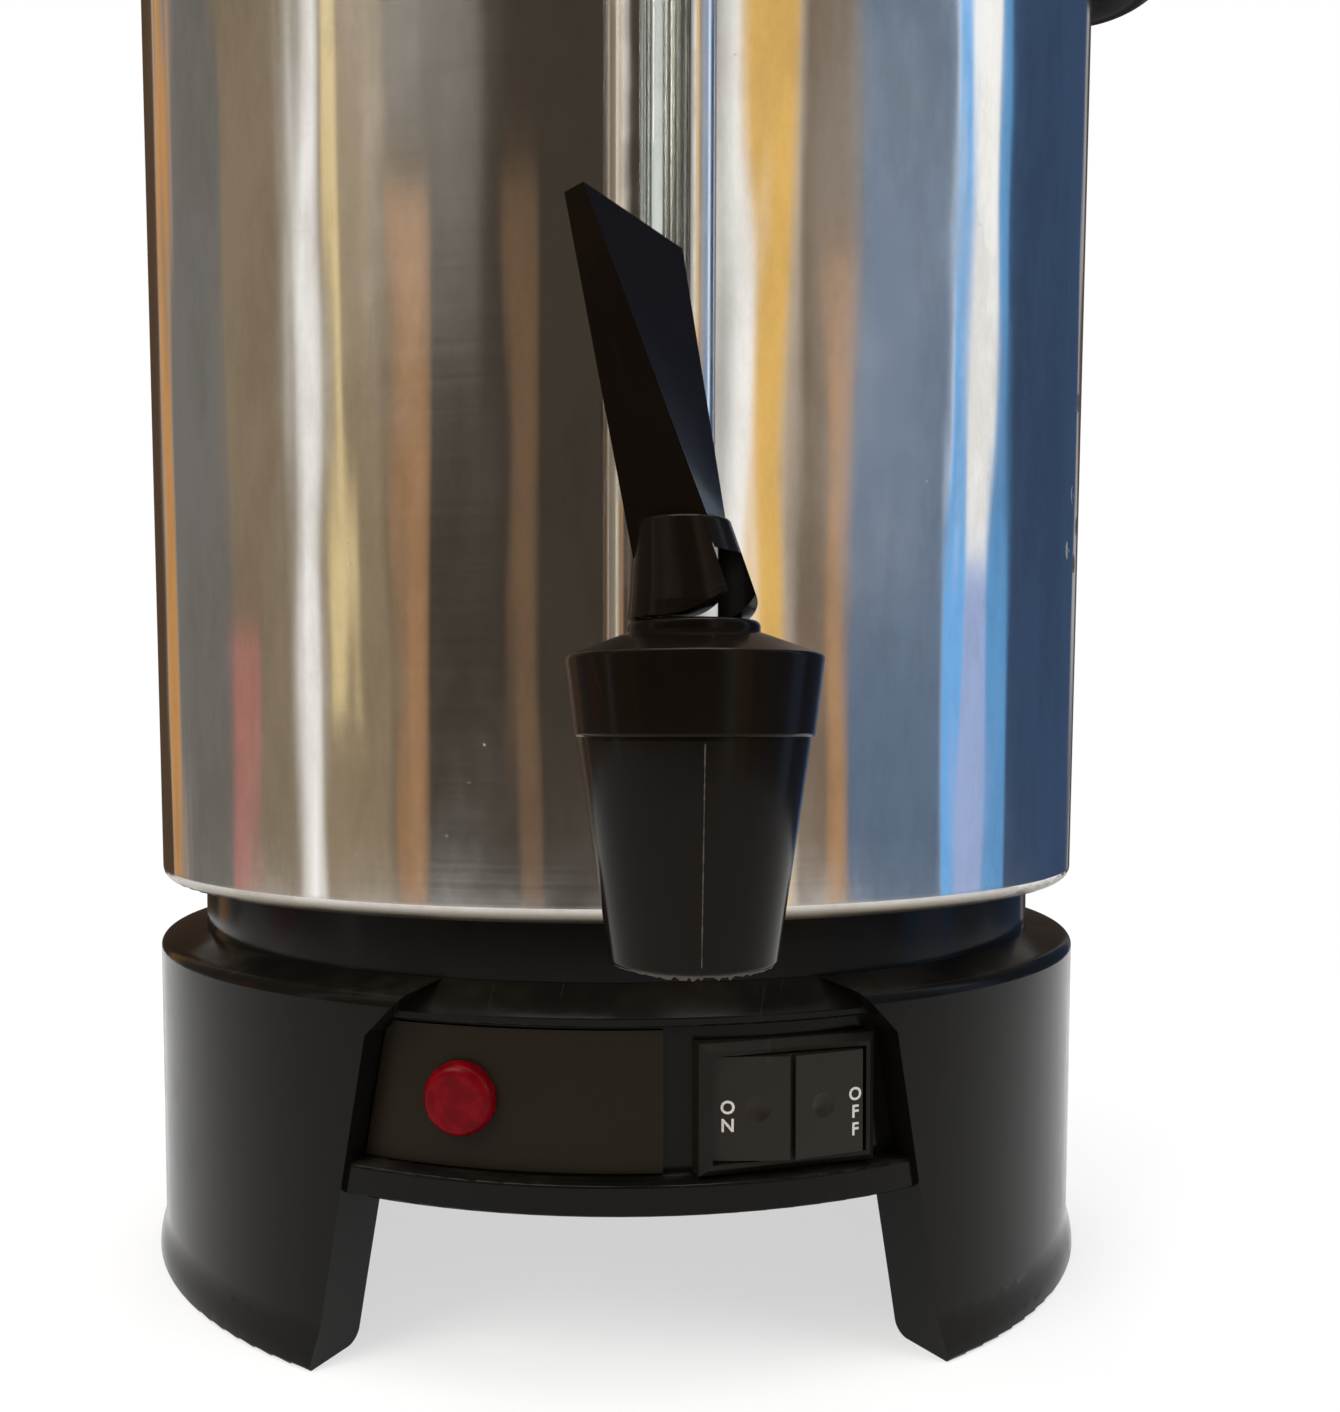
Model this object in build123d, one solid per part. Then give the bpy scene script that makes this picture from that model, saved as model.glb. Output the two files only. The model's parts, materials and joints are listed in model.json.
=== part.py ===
"""Counter-top coffee urn, built piece by piece in millimetres.

The origin is on the urn's axis, on the table. Z points up and the front faces -Y.
An azimuth is an angle in degrees about the axis, 0 at the front and growing towards +X.
The vessel is screwed to the base a little out of line, so what sits on it is turned by
vessel_turn. Each piece is made at azimuth 0 and then turned to its place.
"""

from build123d import *
import math
import os

# Base skirt
base_radius = 116.6        # outside of the moulded wall below its shoulder
base_height = 76.9         # table to the deck's upper face
base_skin = 3.0            # moulded wall and deck
base_draft = 0.8           # how much narrower the wall is above the foot
shoulder_fall = 1.9        # from the collar out to the shoulder's edge
shoulder_round = 2.6
foot_height = 2.4          # the legs flare out to a foot of this height
foot_sweep = 5.4           # height of the flare above it
foot_flare = 1.4
foot_blend = 12.0
foot_round = 0.8
deck_hole_inset = 40.4     # deck's opening, inside the ridge
ledge_width = 12.0         # inner ledge that the bottom cover seats under
ledge_thickness = 2.5

# Arches between the legs, and the recessed panel above each
arch_foot_azimuth = 32.3   # side of the arch at the table
arch_head_azimuth = 25.8   # and where its corner starts
arch_corner_azimuth = 22.6
arch_head_z = 67.0
arch_corner_z = 73.4
leg_flange_depth = 14.0
leg_flange = 3.0
leg_flange_round = 3.0
panel_recess = 6.6         # face of the recessed panel, inside the wall
panel_wall = 3.6
lip_stand = 5.0            # lip's edge out from the panel's face
lip_bottom_z = 35.6
lip_top_z = 41.5
lip_round = 0.6
brow_stand = 2.0           # thin raised edge over the panel
brow_z = 69.8
brow_thickness = 1.6
brow_round = 0.4

# Fits shared by several pieces
hole_fit = 0.2             # a hole round what is pushed through it
running = 0.05             # radial clearance of a running fit
rest_gap = 0.1             # between faces that meet but turn or lift apart
beyond = 1.0               # how far a cut runs past the face that it opens

# Bottom cover and its screws
cover_thickness = 1.0
cover_clearance = 0.5
cover_slots = 12
cover_slot_length = 26.0
cover_slot_width = 3.0
boss_radius = 5.0
boss_inset = 8.6           # inside the leg flanges
boss_azimuths = (75.0, 145.0, 215.0, 285.0)
screw_radius = 1.5
screw_head_radius = 3.2
screw_head_height = 1.8
screw_bite = 10.0

# Front plate, lamp and lens
plate_thickness = 0.8
plate_start_azimuth = -32.0
plate_end_azimuth = 2.8
plate_end_gap = 0.6        # between the plate and the leg
plate_margin = 0.8         # left free above the lip and below the brow
lens_azimuth = -17.0
lens_radius = 7.0
lens_z = 55.5
lens_rim = 1.2
lens_dome = 2.0
lens_crown = 1.0           # flat middle of the dome
lens_window = 0.4          # dome's thickness in front of the lamp, less the rim
lens_stem_radius = 5.6
lens_stem_length = 8.5
lamp_radius = 2.8
lamp_length = 9.0
lamp_clearance = 0.3
lamp_round = 2.2
lamp_tip = 0.4             # bulb's end behind the plate's face
lamp_lead_radius = 0.4
lamp_lead_length = 6.0
retainer_width = 3.0
retainer_thickness = 0.8

# Rocker switch
switch_azimuth = 15.1
switch_z = 54.5
bezel_width = 35.8
bezel_height = 24.6
bezel_stand = 3.2          # bezel's flat face out from the panel
rocker_width = 30.6
rocker_height = 19.4
rocker_gap = 0.35
rocker_slope = 9.7         # each pad falls away from the middle by this angle
rocker_crest = 2.3         # how far the middle stands out of the bezel
rocker_throw = 10.0
rocker_body = 8.6          # depth of the rocker behind its crest
rocker_round = 2.0
rocker_slot = 1.1
rocker_slot_depth = 1.6
rocker_pivot_depth = 4.2   # pivot behind the bezel's face
pin_radius = 1.2
dimple_radius = 2.4
dimple_depth = 0.5
dimple_offset = 6.4
bezel_overlap = 1.2        # bezel beyond the switch's box
bezel_chamfer = 1.4
switch_depth = 25.0
switch_cavity = 13.0
terminal_size = (0.8, 8.0, 6.3)
terminal_pitch = 7.5
terminal_hole_radius = 0.9
terminal_hole_inset = 2.5

# Appliance inlet at the back
inlet_z = 55.5
inlet_width = 42.0
inlet_height = 22.0
inlet_depth = 24.0
inlet_wall = 2.0
inlet_flange = 7.0
inlet_flange_stand = 2.0
inlet_pin_radius = 2.4
inlet_pin_pitch = 17.5
inlet_pin_length = 17.5
inlet_pin_step = 0.5       # the pin is thinner where it passes the shell's floor
inlet_screw_radius = 1.6
inlet_flange_edge = 1.5    # flange above and below the shell
inlet_flange_round = 1.2
inlet_round = 4.0
inlet_tail = (0.8, 8.0, 4.4)
inlet_pin_chamfer = 0.8

# Vessel
vessel_radius = 116.0      # outside, at the floor
vessel_draft = 1.0         # the wall opens upwards by this angle
vessel_wall = 1.2
vessel_corner = 3.0
vessel_depth = 289.0       # floor to rim
vessel_turn = 1.7
rim_bead = 2.0
collar_height = 12.4       # heat ring between deck and vessel
collar_width = 9.0
collar_lip = 0.8
collar_inset = 0.4         # collar's outside from the shoulder's edge

# Heater under the vessel
well_radius = 24.0
well_depth = 19.0
well_wall = 1.2
well_flange = 7.0
well_clearance = 0.5
well_round = 2.4
gasket_thickness = 0.8
element_radius = 3.4
element_leg_length = 14.0
element_leg_radius = 1.8
leg_clearance = 1.0
element_gap = 50.0         # between the ring's two ends, at the back
clamp_thickness = 1.2
clamp_width = 8.0
thermostat_radius = 9.0
thermostat_height = 7.0
thermostat_offset = 13.5
thermostat_round = 0.8
thermostat_tab = (2.0, 0.8, 6.0)
thermostat_tab_offset = 5.4
fuse_radius = 2.0
fuse_length = 18.0
fuse_offset = 12.5
fuse_lead_radius = 0.5
fuse_lead_length = 7.0
clamp_stud_radius = 2.0
clamp_stud_length = 8.0
stud_radius = 2.0
stud_inset = 22.4          # inside the ridge
stud_end = 3.2             # thread past the nut
stud_clearance = 0.3
stud_azimuths = (50.0, 170.0, 290.0)
nut_height = 3.2
nut_width = 7.0

# Tap: heights are taken from the shank's axis
tap_height = 22.7          # shank above the vessel's floor
tap_reach = 59.0           # tap's axis out from the vessel's wall
spout_drop = 18.5
spout_tip_radius = 11.35
spout_top_radius = 16.1
spout_rise = 11.7          # joint between spout and bonnet
spout_bore = 8.2
spout_round = 0.8
shank_socket = 8.0         # shank screwed into the spout's boss
spout_neck_radius = 13.6
spout_neck_height = 7.0
boss_reach = 22.0          # the spout's rear boss, out from the tap's axis
boss_outer_radius = 10.0
seat_drop = 6.0
seat_bore = 6.0
seat_thickness = 2.5
chamber_radius = 10.8
joint_groove = 0.5
bonnet_side = 10.7
bonnet_radius = 17.4
bonnet_shoulder = 3.2
bonnet_ring_radius = 8.9
bonnet_ring_height = 1.5
bonnet_crown = 4.9         # thickness over the chamber
bonnet_round = 0.5
bonnet_ring_round = 0.8
thread_clearance = 0.2

# Valve
stem_radius = 3.2
stem_flange_radius = 6.5
stem_flange = 1.5
stem_stub_radius = 2.5
stem_round = 0.8
cup_radius = 8.6
cup_height = 4.4
cup_floor = 1.4
cup_round = 0.6
guide_radius = 5.2
guide_flange_radius = 8.0
guide_flange = 1.6
spring_radius = 4.9
spring_wire = 0.5
spring_pitch = 3.0

# Lever
pivot_rise = 6.9           # lever's pin above the bonnet
lever_azimuth = -39.4      # the pin's direction, from the vessel's own front
lever_lean = 10.6
lever_throw = 75.0
lever_shift = 1.4          # the blade stands beside the pin
lever_twist = 18.7         # the neck is turned from the top by this angle
lever_height = 50.0        # top edge above the pin
lever_top_width = 23.0
lever_top_thickness = 3.2
lever_top_fall = 1.8       # the top edge falls away towards the far corner
lever_top_offset = 1.0     # the top stands a little towards the urn
lever_neck_rise = 1.5      # where the blade starts, inside the skirt
lever_neck_width = 8.0
lever_neck_thickness = 11.6
skirt_radius = 9.0
skirt_waist = 6.4
skirt_drop = 6.6
skirt_lip = 2.0            # height of the skirt's straight foot
skirt_taper = 0.3
waist_rise = 6.8           # where the skirt's waist lies above the pin
waist_shift = 1.9          # and how far it leans with the blade
waist_round = 0.8
cam_rate = 1.5             # stem's lift for each radian that the lever tilts
cam_steps = 8
stem_slot_clearance = 0.35
stem_top = 4.4             # stem above the pin
lever_pin_radius = 1.5
lever_pin_near = 6.0       # the pin's blind end, and its open end
lever_pin_far = 7.2

# Sight gauge: distances are taken from the vessel's wall
gauge_reach = 8.6          # glass's axis
gauge_length = 192.0
gauge_half_width = 9.4
gauge_depth = 14.8
gauge_sheet = 1.0
gauge_round = 5.0
gauge_slot_half = 4.15
gauge_slot_end = 10.0
gauge_clearance = 0.4
glass_radius = 4.8
glass_bore = 3.5
shank_radius = 7.5
shank_bore = 5.0
shank_inside = 12.0
tee_radius = 8.6
tee_drop = 9.0
tee_rise = 12.0
tee_round = 1.5
seal_height = 4.0
seal_width = 1.2
glass_seat = 1.5           # glass below its lower seal
glass_end = 3.0            # and above the shield
cap_height = 14.0
cap_round = 4.0
cap_lug_half = 6.6
cap_lug_round = 2.0
washer_radius = 12.0
shank_washer = 1.6
inner_washer = 2.2         # the inner one, at its thickest
shank_nut_width = 22.0
shank_nut_height = 5.0
hole_clearance = 0.3
gauge_screw_drop = 5.0     # below the cap's top
gauge_screw_bite = 6.0

# Handles
handle_drop = 30.0         # below the rim
handle_reach = 34.0
handle_half_span = 38.0
handle_taper = 2.0
handle_half_width = 8.0
handle_half_height = 10.0
handle_round = 16.0
bracket_thickness = 1.5
bracket_half_width = 13.0
bracket_half_height = 15.0
handle_screw_radius = 2.1
handle_screw_head = 4.2
handle_screw_bite = 16.0
handle_screw_depth = 3.0   # a screw head's outer face inside the wall

# Lid and knob
lid_sheet = 1.0
lid_gap = 0.3
lid_overhang = 1.6
lid_drop = 4.0             # rolled edge outside the rim
lid_plug = 9.0             # flange that drops into the vessel
lid_rise = 17.0            # crown above the rim
lid_step = 8.0
lid_pad = 4.0              # flat seat round the knob's foot
lid_crown_round = 6.0
lid_pad_round = 4.0
lid_step_round = 1.5
lid_edge_round = 0.8
lid_slope = 0.8            # the sheet is set over by this where it turns down
knob_radius = 19.0
knob_waist = 9.5
knob_foot = 13.0
knob_height = 30.0
knob_waist_rise = 10.5
knob_brim_low = 18.6
knob_brim_high = 25.8
knob_round = 3.0
knob_waist_round = 5.0
knob_foot_round = 1.0
knob_washer = 1.2
knob_screw_radius = 2.4
knob_screw_bite = 16.0
knob_screw_head_radius = 4.8
knob_screw_head = 2.4

# Brewing set
stem_tube_radius = 4.6
stem_tube_wall = 0.9
riser_collar = 3.0         # ring that the basket stands on
foot_radius = 20.5
foot_skin = 1.2
foot_rise = 26.0
foot_clearance = 0.3
foot_skirt = 5.0
foot_collar = 6.0          # straight collar round the riser
foot_bell_round = 3.0
foot_bell_inside = 2.0
foot_inside_skirt = 4.4
tube_seat = 7.0            # riser held in the collar
foot_notches = 4
foot_notch_half = 3.0
inlet_holes = 6
inlet_hole_radius = 2.0
inlet_hole_circle = 7.5
plate_rise = 1.6
pump_disc_radius = 12.0
pump_disc_thickness = 1.2
guide_post_radius = 3.0
post_clearance = 0.4
post_over = 5.0            # post above the loose disc
basket_floor_rise = 196.0  # above the vessel's floor
basket_gap = 10.8          # between the basket's rim and the vessel's wall
basket_taper = 2.0
basket_height = 60.0
basket_sheet = 0.8
basket_sleeve = 16.0
basket_corner = 4.0
basket_rim_out = 1.6
basket_rim_high = 2.0
sleeve_clearance = 0.4
basket_rings = ((34.0, 10), (58.0, 16), (82.0, 24))
basket_hole = 2.2
cover_well = 5.0           # the spreader's dish
cover_rim = 7.0
cover_overlap = 1.2        # its rim past the basket's wall
cover_slope = 2.0
cover_bore = 1.0           # round the riser
cover_rings = ((30.0, 10), (62.0, 20))
stem_tube_over = 12.0      # tube above the basket's rim

# Heights and distances that follow
shoulder_z = base_height - shoulder_fall
foot_radius_out = base_radius - base_draft + foot_flare
panel_radius = base_radius - panel_recess
ridge_radius = panel_radius - panel_wall
lip_radius = panel_radius + lip_stand
brow_radius = panel_radius + brow_stand
bezel_face = panel_radius + bezel_stand
inlet_flange_face = panel_radius + inlet_flange_stand
deck_hole_radius = ridge_radius - deck_hole_inset
stud_circle = ridge_radius - stud_inset
stud_length = collar_height + base_skin + nut_height + stud_end
basket_radius = vessel_radius - vessel_wall - basket_gap
vessel_floor = base_height + collar_height
vessel_inside = vessel_floor + vessel_wall
rim_z = vessel_floor + vessel_depth
cover_z = lip_top_z - ledge_thickness - cover_thickness
leg_flange_radius = base_radius - leg_flange_depth
boss_circle = leg_flange_radius - boss_inset
handle_z = rim_z - handle_drop
ridge_inside = ridge_radius - base_skin
tap_z = vessel_floor + tap_height
tap_radius = vessel_radius + tap_reach
spout_tip_z = tap_z - spout_drop
joint_z = tap_z + spout_rise
bonnet_edge_z = joint_z + bonnet_side
bonnet_ring_z = bonnet_edge_z + bonnet_shoulder
bonnet_top_z = bonnet_ring_z + bonnet_ring_height
chamber_top_z = bonnet_ring_z - bonnet_crown
seat_z = tap_z - seat_drop
pivot_z = bonnet_top_z + pivot_rise
well_floor_z = vessel_inside + gasket_thickness + well_wall - well_depth
element_z = vessel_floor - gasket_thickness - 2 * element_radius - stud_clearance
basket_floor_z = vessel_floor + basket_floor_rise
basket_rim_z = basket_floor_z + basket_height
tube_top_z = basket_rim_z + stem_tube_over

centred_up = (Align.CENTER, Align.CENTER, Align.MIN)


def wall_radius(z):
    """Outside radius of the vessel's wall at a height."""
    return vessel_radius + (z - vessel_floor) * math.tan(math.radians(vessel_draft))


def flat(*corners, plane=Plane.XZ):
    """A face from (u, v) or (u, v, round) corners in a plane."""
    points = [corner[:2] for corner in corners]
    rounds = [corner[2] if len(corner) > 2 else 0 for corner in corners]
    return make_face(plane * FilletPolyline(*points, radius=rounds, close=True))


def turned(*corners):
    """An outline of (radius, height) or (radius, height, round) corners, turned on the axis."""
    return revolve(flat(*corners), Axis.Z)


def rod(radius, start, end):
    """A round bar from one point to another."""
    run = Vector(*end) - Vector(*start)
    return Plane(origin=start, z_dir=run) * Cylinder(radius, run.length, align=centred_up)


def block(x, y, z):
    """A box from (low, high) pairs."""
    spans = (x, y, z)
    centre = [(low + high) / 2 for low, high in spans]
    return Pos(*centre) * Box(*[high - low for low, high in spans])


def around(azimuth, shape):
    """A shape made at the front, carried round to an azimuth."""
    return Rot(0, 0, azimuth) * shape


def ring_of(azimuths, shape):
    """Copies of a shape at several azimuths, as one group."""
    return [around(azimuth, shape) for azimuth in azimuths]


def evenly(count):
    """Azimuths of a full ring of copies."""
    return [360.0 / count * step for step in range(count)]


def hex_nut(width, height, bore):
    """A hexagon nut that stands on its lower face at the origin."""
    body = extrude(RegularPolygon(width / math.sqrt(3), 6), height)
    return body - Cylinder(bore, height, align=centred_up)


def drum(grow=0.0):
    """The vessel's outside as a solid, grown by a distance."""
    return turned((0, vessel_floor), (wall_radius(vessel_floor) + grow, vessel_floor),
                  (wall_radius(rim_z) + grow, rim_z), (0, rim_z))


def at_tap(shape):
    """Move a piece made on the axis to the tap's axis."""
    return around(vessel_turn, Pos(0, -tap_radius, 0) * shape)


# ---- Base -------------------------------------------------------------------------

def arch_side(grow):
    """Everything on the arch's side of one leg: a leaning radial face with a cut corner."""
    reference = (arch_foot_azimuth + arch_head_azimuth) / 2
    angle = math.radians(reference)
    across = (math.cos(angle), math.sin(angle), 0)
    outward = (math.sin(angle), -math.cos(angle), 0)
    offset = [base_radius * math.sin(math.radians(azimuth - reference)) + grow
              for azimuth in (arch_foot_azimuth, arch_head_azimuth, arch_corner_azimuth)]
    slope = (offset[2] - offset[1]) / (arch_corner_z - arch_head_z)
    over = base_height + beyond - arch_corner_z
    face = flat((-2 * base_radius, -beyond), (offset[0], -beyond), (offset[0], 0), (offset[1], arch_head_z),
                (offset[2] + slope * over, arch_corner_z + over),
                (-2 * base_radius, arch_corner_z + over),
                plane=Plane(origin=(0, 0, 0), x_dir=across, z_dir=outward))
    return extrude(face, base_radius * 1.2)


def arch(grow=0.0):
    """The space between the legs on one side, grown towards both legs."""
    side = arch_side(grow)
    return side & mirror(side, Plane.YZ)


def skirt_shell():
    """Moulded wall, sloping shoulder and deck."""
    inner = base_radius - base_skin
    return turned(
        (inner - base_draft, 0), (foot_radius_out, 0, foot_round),
        (foot_radius_out, foot_height, foot_blend),
        (base_radius - base_draft, foot_height + foot_sweep, foot_blend),
        (base_radius, shoulder_z, shoulder_round), (ridge_radius, base_height),
        (deck_hole_radius, base_height), (deck_hole_radius, base_height - base_skin),
        (ridge_radius, base_height - base_skin), (inner, shoulder_z - base_skin))


def leg_mass():
    """The skirt's outside filled in as far as the leg flanges reach."""
    return turned(
        (leg_flange_radius, 0, leg_flange_round), (foot_radius_out, 0, foot_round),
        (foot_radius_out, foot_height, foot_blend),
        (base_radius - base_draft, foot_height + foot_sweep, foot_blend),
        (base_radius, shoulder_z, shoulder_round), (ridge_radius, base_height),
        (leg_flange_radius, base_height))


def panel_body():
    """Brow, recessed panel and lip that span between two legs."""
    return turned(
        (ridge_radius, base_height), (ridge_radius, lip_bottom_z), (lip_radius, lip_bottom_z, lip_round),
        (lip_radius, lip_top_z, lip_round), (panel_radius, lip_top_z, lip_round),
        (panel_radius, brow_z), (brow_radius, brow_z, brow_round),
        (brow_radius, brow_z + brow_thickness, brow_round))


def switch_hole():
    """The hole for the switch's box, on the front's centre line."""
    x = bezel_width / 2 - bezel_overlap + hole_fit
    z = bezel_height / 2 - bezel_overlap + hole_fit
    return block((-x, x), (-base_radius, -ridge_inside), (switch_z - z, switch_z + z))


def inlet_hole():
    """The hole for the inlet's shell, on the front's centre line until it is turned."""
    x = inlet_width / 2 + hole_fit
    z = inlet_height / 2 + hole_fit
    return block((-x, x), (-base_radius, -ridge_inside), (inlet_z - z, inlet_z + z))


def inlet_screw_places():
    """Where the inlet's two screws pass, on the front's centre line until they are turned."""
    return [side * (inlet_width + inlet_flange) / 2 for side in (-1, 1)]


def base_skirt():
    """Shell with two arches cut through it, flanged leg sides, panels, ledge and bosses."""
    beyond_ridge = leg_mass() - Cylinder(ridge_radius, 3 * base_height)
    body = skirt_shell()
    ledge_inner = leg_flange_radius - ledge_width + cover_clearance
    body += turned((ledge_inner, cover_z + cover_thickness),
                   (base_radius - base_skin, cover_z + cover_thickness),
                   (base_radius - base_skin, cover_z + cover_thickness + ledge_thickness),
                   (ledge_inner, cover_z + cover_thickness + ledge_thickness))
    arches = []
    flanges = []
    panels = []
    for azimuth in (0, 180):
        arches.append(around(azimuth, arch() - Cylinder(ridge_radius, 3 * base_height)))
        flanges.append(around(azimuth, leg_mass() & (arch(leg_flange) - arch())))
        panels.append(around(azimuth, panel_body() & arch(leg_flange / 2)))
    body = body - arches + flanges + panels
    boss = rod(boss_radius, (0, -boss_circle, cover_z + cover_thickness),
               (0, -boss_circle, base_height - base_skin))
    body += ring_of(boss_azimuths, boss)
    body -= ring_of(boss_azimuths, rod(screw_radius, (0, -boss_circle, 0),
                                       (0, -boss_circle, cover_z + cover_thickness + screw_bite)))
    body -= ring_of(stud_azimuths, rod(stud_radius + stud_clearance, (0, -stud_circle, 0),
                                       (0, -stud_circle, base_height + beyond)))
    body -= around(switch_azimuth, switch_hole())
    body -= around(180, inlet_hole())
    body -= around(lens_azimuth, rod(lens_stem_radius + hole_fit, (0, -base_radius, lens_z),
                                     (0, -ridge_inside, lens_z)))
    for x in inlet_screw_places():
        body -= around(180, rod(inlet_screw_radius, (x, -base_radius, inlet_z),
                                (x, -ridge_inside, inlet_z)))
    return body


def heat_ring():
    """Collar that the vessel stands on."""
    outer = ridge_radius - collar_inset
    inner = outer - collar_width
    return turned((inner, base_height), (outer, base_height), (outer, vessel_floor, collar_lip),
                  (inner, vessel_floor))


def bottom_cover():
    """Pressed plate with a rolled edge and vent slots, screwed under the ledge."""
    radius = leg_flange_radius - cover_clearance
    bottom = cover_z
    body = turned((0, bottom), (radius, bottom), (radius, bottom + cover_thickness),
                  (0, bottom + cover_thickness))
    slot = block((-cover_slot_width / 2, cover_slot_width / 2),
                 (-boss_circle + 2 * boss_radius, -boss_circle + 2 * boss_radius + cover_slot_length),
                 (bottom - beyond, bottom + cover_thickness + beyond))
    body -= ring_of(evenly(cover_slots), slot)
    body -= ring_of(boss_azimuths, rod(screw_radius, (0, -boss_circle, bottom - beyond),
                                       (0, -boss_circle, bottom + cover_thickness + beyond)))
    return body


def cover_screws():
    """Pan-head screws under the cover."""
    head = rod(screw_head_radius, (0, -boss_circle, cover_z - screw_head_height),
               (0, -boss_circle, cover_z))
    shank = rod(screw_radius, (0, -boss_circle, cover_z - screw_head_height),
                (0, -boss_circle, cover_z + cover_thickness + screw_bite))
    return ring_of(boss_azimuths, head + shank)


# ---- Front panel ------------------------------------------------------------------

def front_plate():
    """Thin curved plate that lies in the panel, with a hole for the lens."""
    low = lip_top_z + plate_margin
    high = brow_z - plate_margin
    face = flat((panel_radius, low), (panel_radius + plate_thickness, low),
                (panel_radius + plate_thickness, high), (panel_radius, high))
    sheet = revolve(face, Axis.Z, plate_end_azimuth - plate_start_azimuth)
    sheet = around(plate_start_azimuth - 90, sheet)
    sheet &= arch(-plate_end_gap)
    return sheet - around(lens_azimuth, rod(lens_stem_radius + hole_fit, (0, -base_radius, lens_z),
                                            (0, 0, lens_z)))


def indicator_lens():
    """Domed lens with a hollow stem through the panel."""
    face = panel_radius + plate_thickness
    front = face + lens_rim + lens_dome
    seat = -math.sqrt(face ** 2 - lens_radius ** 2)
    bore = lamp_radius + lamp_clearance
    profile = flat((0, -front, 0), (lens_crown, -front, 0), (lens_radius, -front, lens_dome),
                   (lens_radius, seat), (lens_stem_radius, seat),
                   (lens_stem_radius, -face + lens_stem_length), (bore, -face + lens_stem_length),
                   (bore, -face - lens_window), (0, -face - lens_window), plane=Plane.XY)
    body = Pos(0, 0, lens_z) * revolve(profile, Axis.Y)
    outside_plate = body - Cylinder(face, 3 * base_height)
    stem = body & rod(lens_stem_radius, (0, -front, lens_z), (0, 0, lens_z))
    return around(lens_azimuth, outside_plate + stem)


def indicator_lamp():
    """Neon bulb in the lens's stem, with its two leads."""
    tip = -panel_radius - plate_thickness + lamp_tip
    bulb = rod(lamp_radius, (0, tip, lens_z), (0, tip + lamp_length, lens_z))
    bulb = fillet(bulb.edges().sort_by(Axis.Y)[0], lamp_round)
    for x in (-lamp_radius / 2, lamp_radius / 2):
        bulb += rod(lamp_lead_radius, (x, tip + lamp_length, lens_z),
                    (x, tip + lamp_length + lamp_lead_length, lens_z))
    return around(lens_azimuth, bulb)


def lens_retainer():
    """Push-on ring that grips the lens's stem behind the panel."""
    outer = lens_stem_radius + retainer_width
    seat = -math.sqrt(ridge_radius ** 2 - outer ** 2)
    ring = rod(outer, (0, seat, lens_z), (0, seat + retainer_thickness, lens_z))
    return around(lens_azimuth, ring - rod(lens_stem_radius, (0, seat - beyond, lens_z),
                                           (0, seat + retainer_thickness + beyond, lens_z)))


def switch_housing():
    """Flat bezel on the curved panel, and the box behind it."""
    half_x, half_z = bezel_width / 2, bezel_height / 2
    bezel = block((-half_x, half_x), (-bezel_face, -ridge_radius),
                  (switch_z - half_z, switch_z + half_z))
    bezel = chamfer(bezel.faces().sort_by(Axis.Y)[0].edges(), bezel_chamfer)
    bezel -= Cylinder(panel_radius, 3 * base_height)
    box_x, box_z = half_x - bezel_overlap, half_z - bezel_overlap
    back = -bezel_face + switch_depth
    box = block((-box_x, box_x), (-panel_radius - beyond, back), (switch_z - box_z, switch_z + box_z))
    open_x, open_z = rocker_width / 2 + rocker_gap, rocker_height / 2 + rocker_gap
    cavity = block((-open_x, open_x), (-bezel_face - beyond, -bezel_face + switch_cavity),
                   (switch_z - open_z, switch_z + open_z))
    pivot_y = -bezel_face + rocker_pivot_depth
    hinge = rod(pin_radius, (0, pivot_y, switch_z - box_z), (0, pivot_y, switch_z + box_z))
    return around(switch_azimuth, bezel + box - cavity - hinge)


def rocker():
    """Two sloping pads on one block, resting with the first pad pressed in."""
    half = rocker_width / 2
    crest = -bezel_face - rocker_crest
    pivot_y = -bezel_face + rocker_pivot_depth
    fall = half * math.tan(math.radians(rocker_slope))
    plan = flat((-half, crest + fall), (0, crest), (half, crest + fall),
                (half, crest + rocker_body, rocker_round), (-half, crest + rocker_body, rocker_round),
                plane=Plane.XY)
    body = Pos(0, 0, switch_z - rocker_height / 2) * extrude(plan, rocker_height)
    body &= Pos(0, pivot_y, 0) * Cylinder(half, 3 * base_height)
    body -= block((-rocker_slot / 2, rocker_slot / 2), (crest - beyond, crest + rocker_slot_depth),
                  (switch_z - rocker_height, switch_z + rocker_height))
    ball = (dimple_radius ** 2 + dimple_depth ** 2) / (2 * dimple_depth)
    for side in (-1, 1):
        surface = crest + dimple_offset * math.tan(math.radians(rocker_slope))
        lean = math.radians(side * rocker_slope)
        out = ball - dimple_depth
        body -= Pos(side * dimple_offset + out * math.sin(lean), surface - out * math.cos(lean),
                    switch_z) * Sphere(ball)
    body -= rod(pin_radius + running, (0, pivot_y, 0), (0, pivot_y, base_height))
    body = Pos(0, pivot_y, 0) * Rot(0, 0, -rocker_throw / 2) * Pos(0, -pivot_y, 0) * body
    return around(switch_azimuth, body)


def rocker_pin():
    """Pin through the rocker, held in the housing."""
    pivot_y = -bezel_face + rocker_pivot_depth
    half = bezel_height / 2 - bezel_overlap
    return around(switch_azimuth, rod(pin_radius, (0, pivot_y, switch_z - half),
                                      (0, pivot_y, switch_z + half)))


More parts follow.
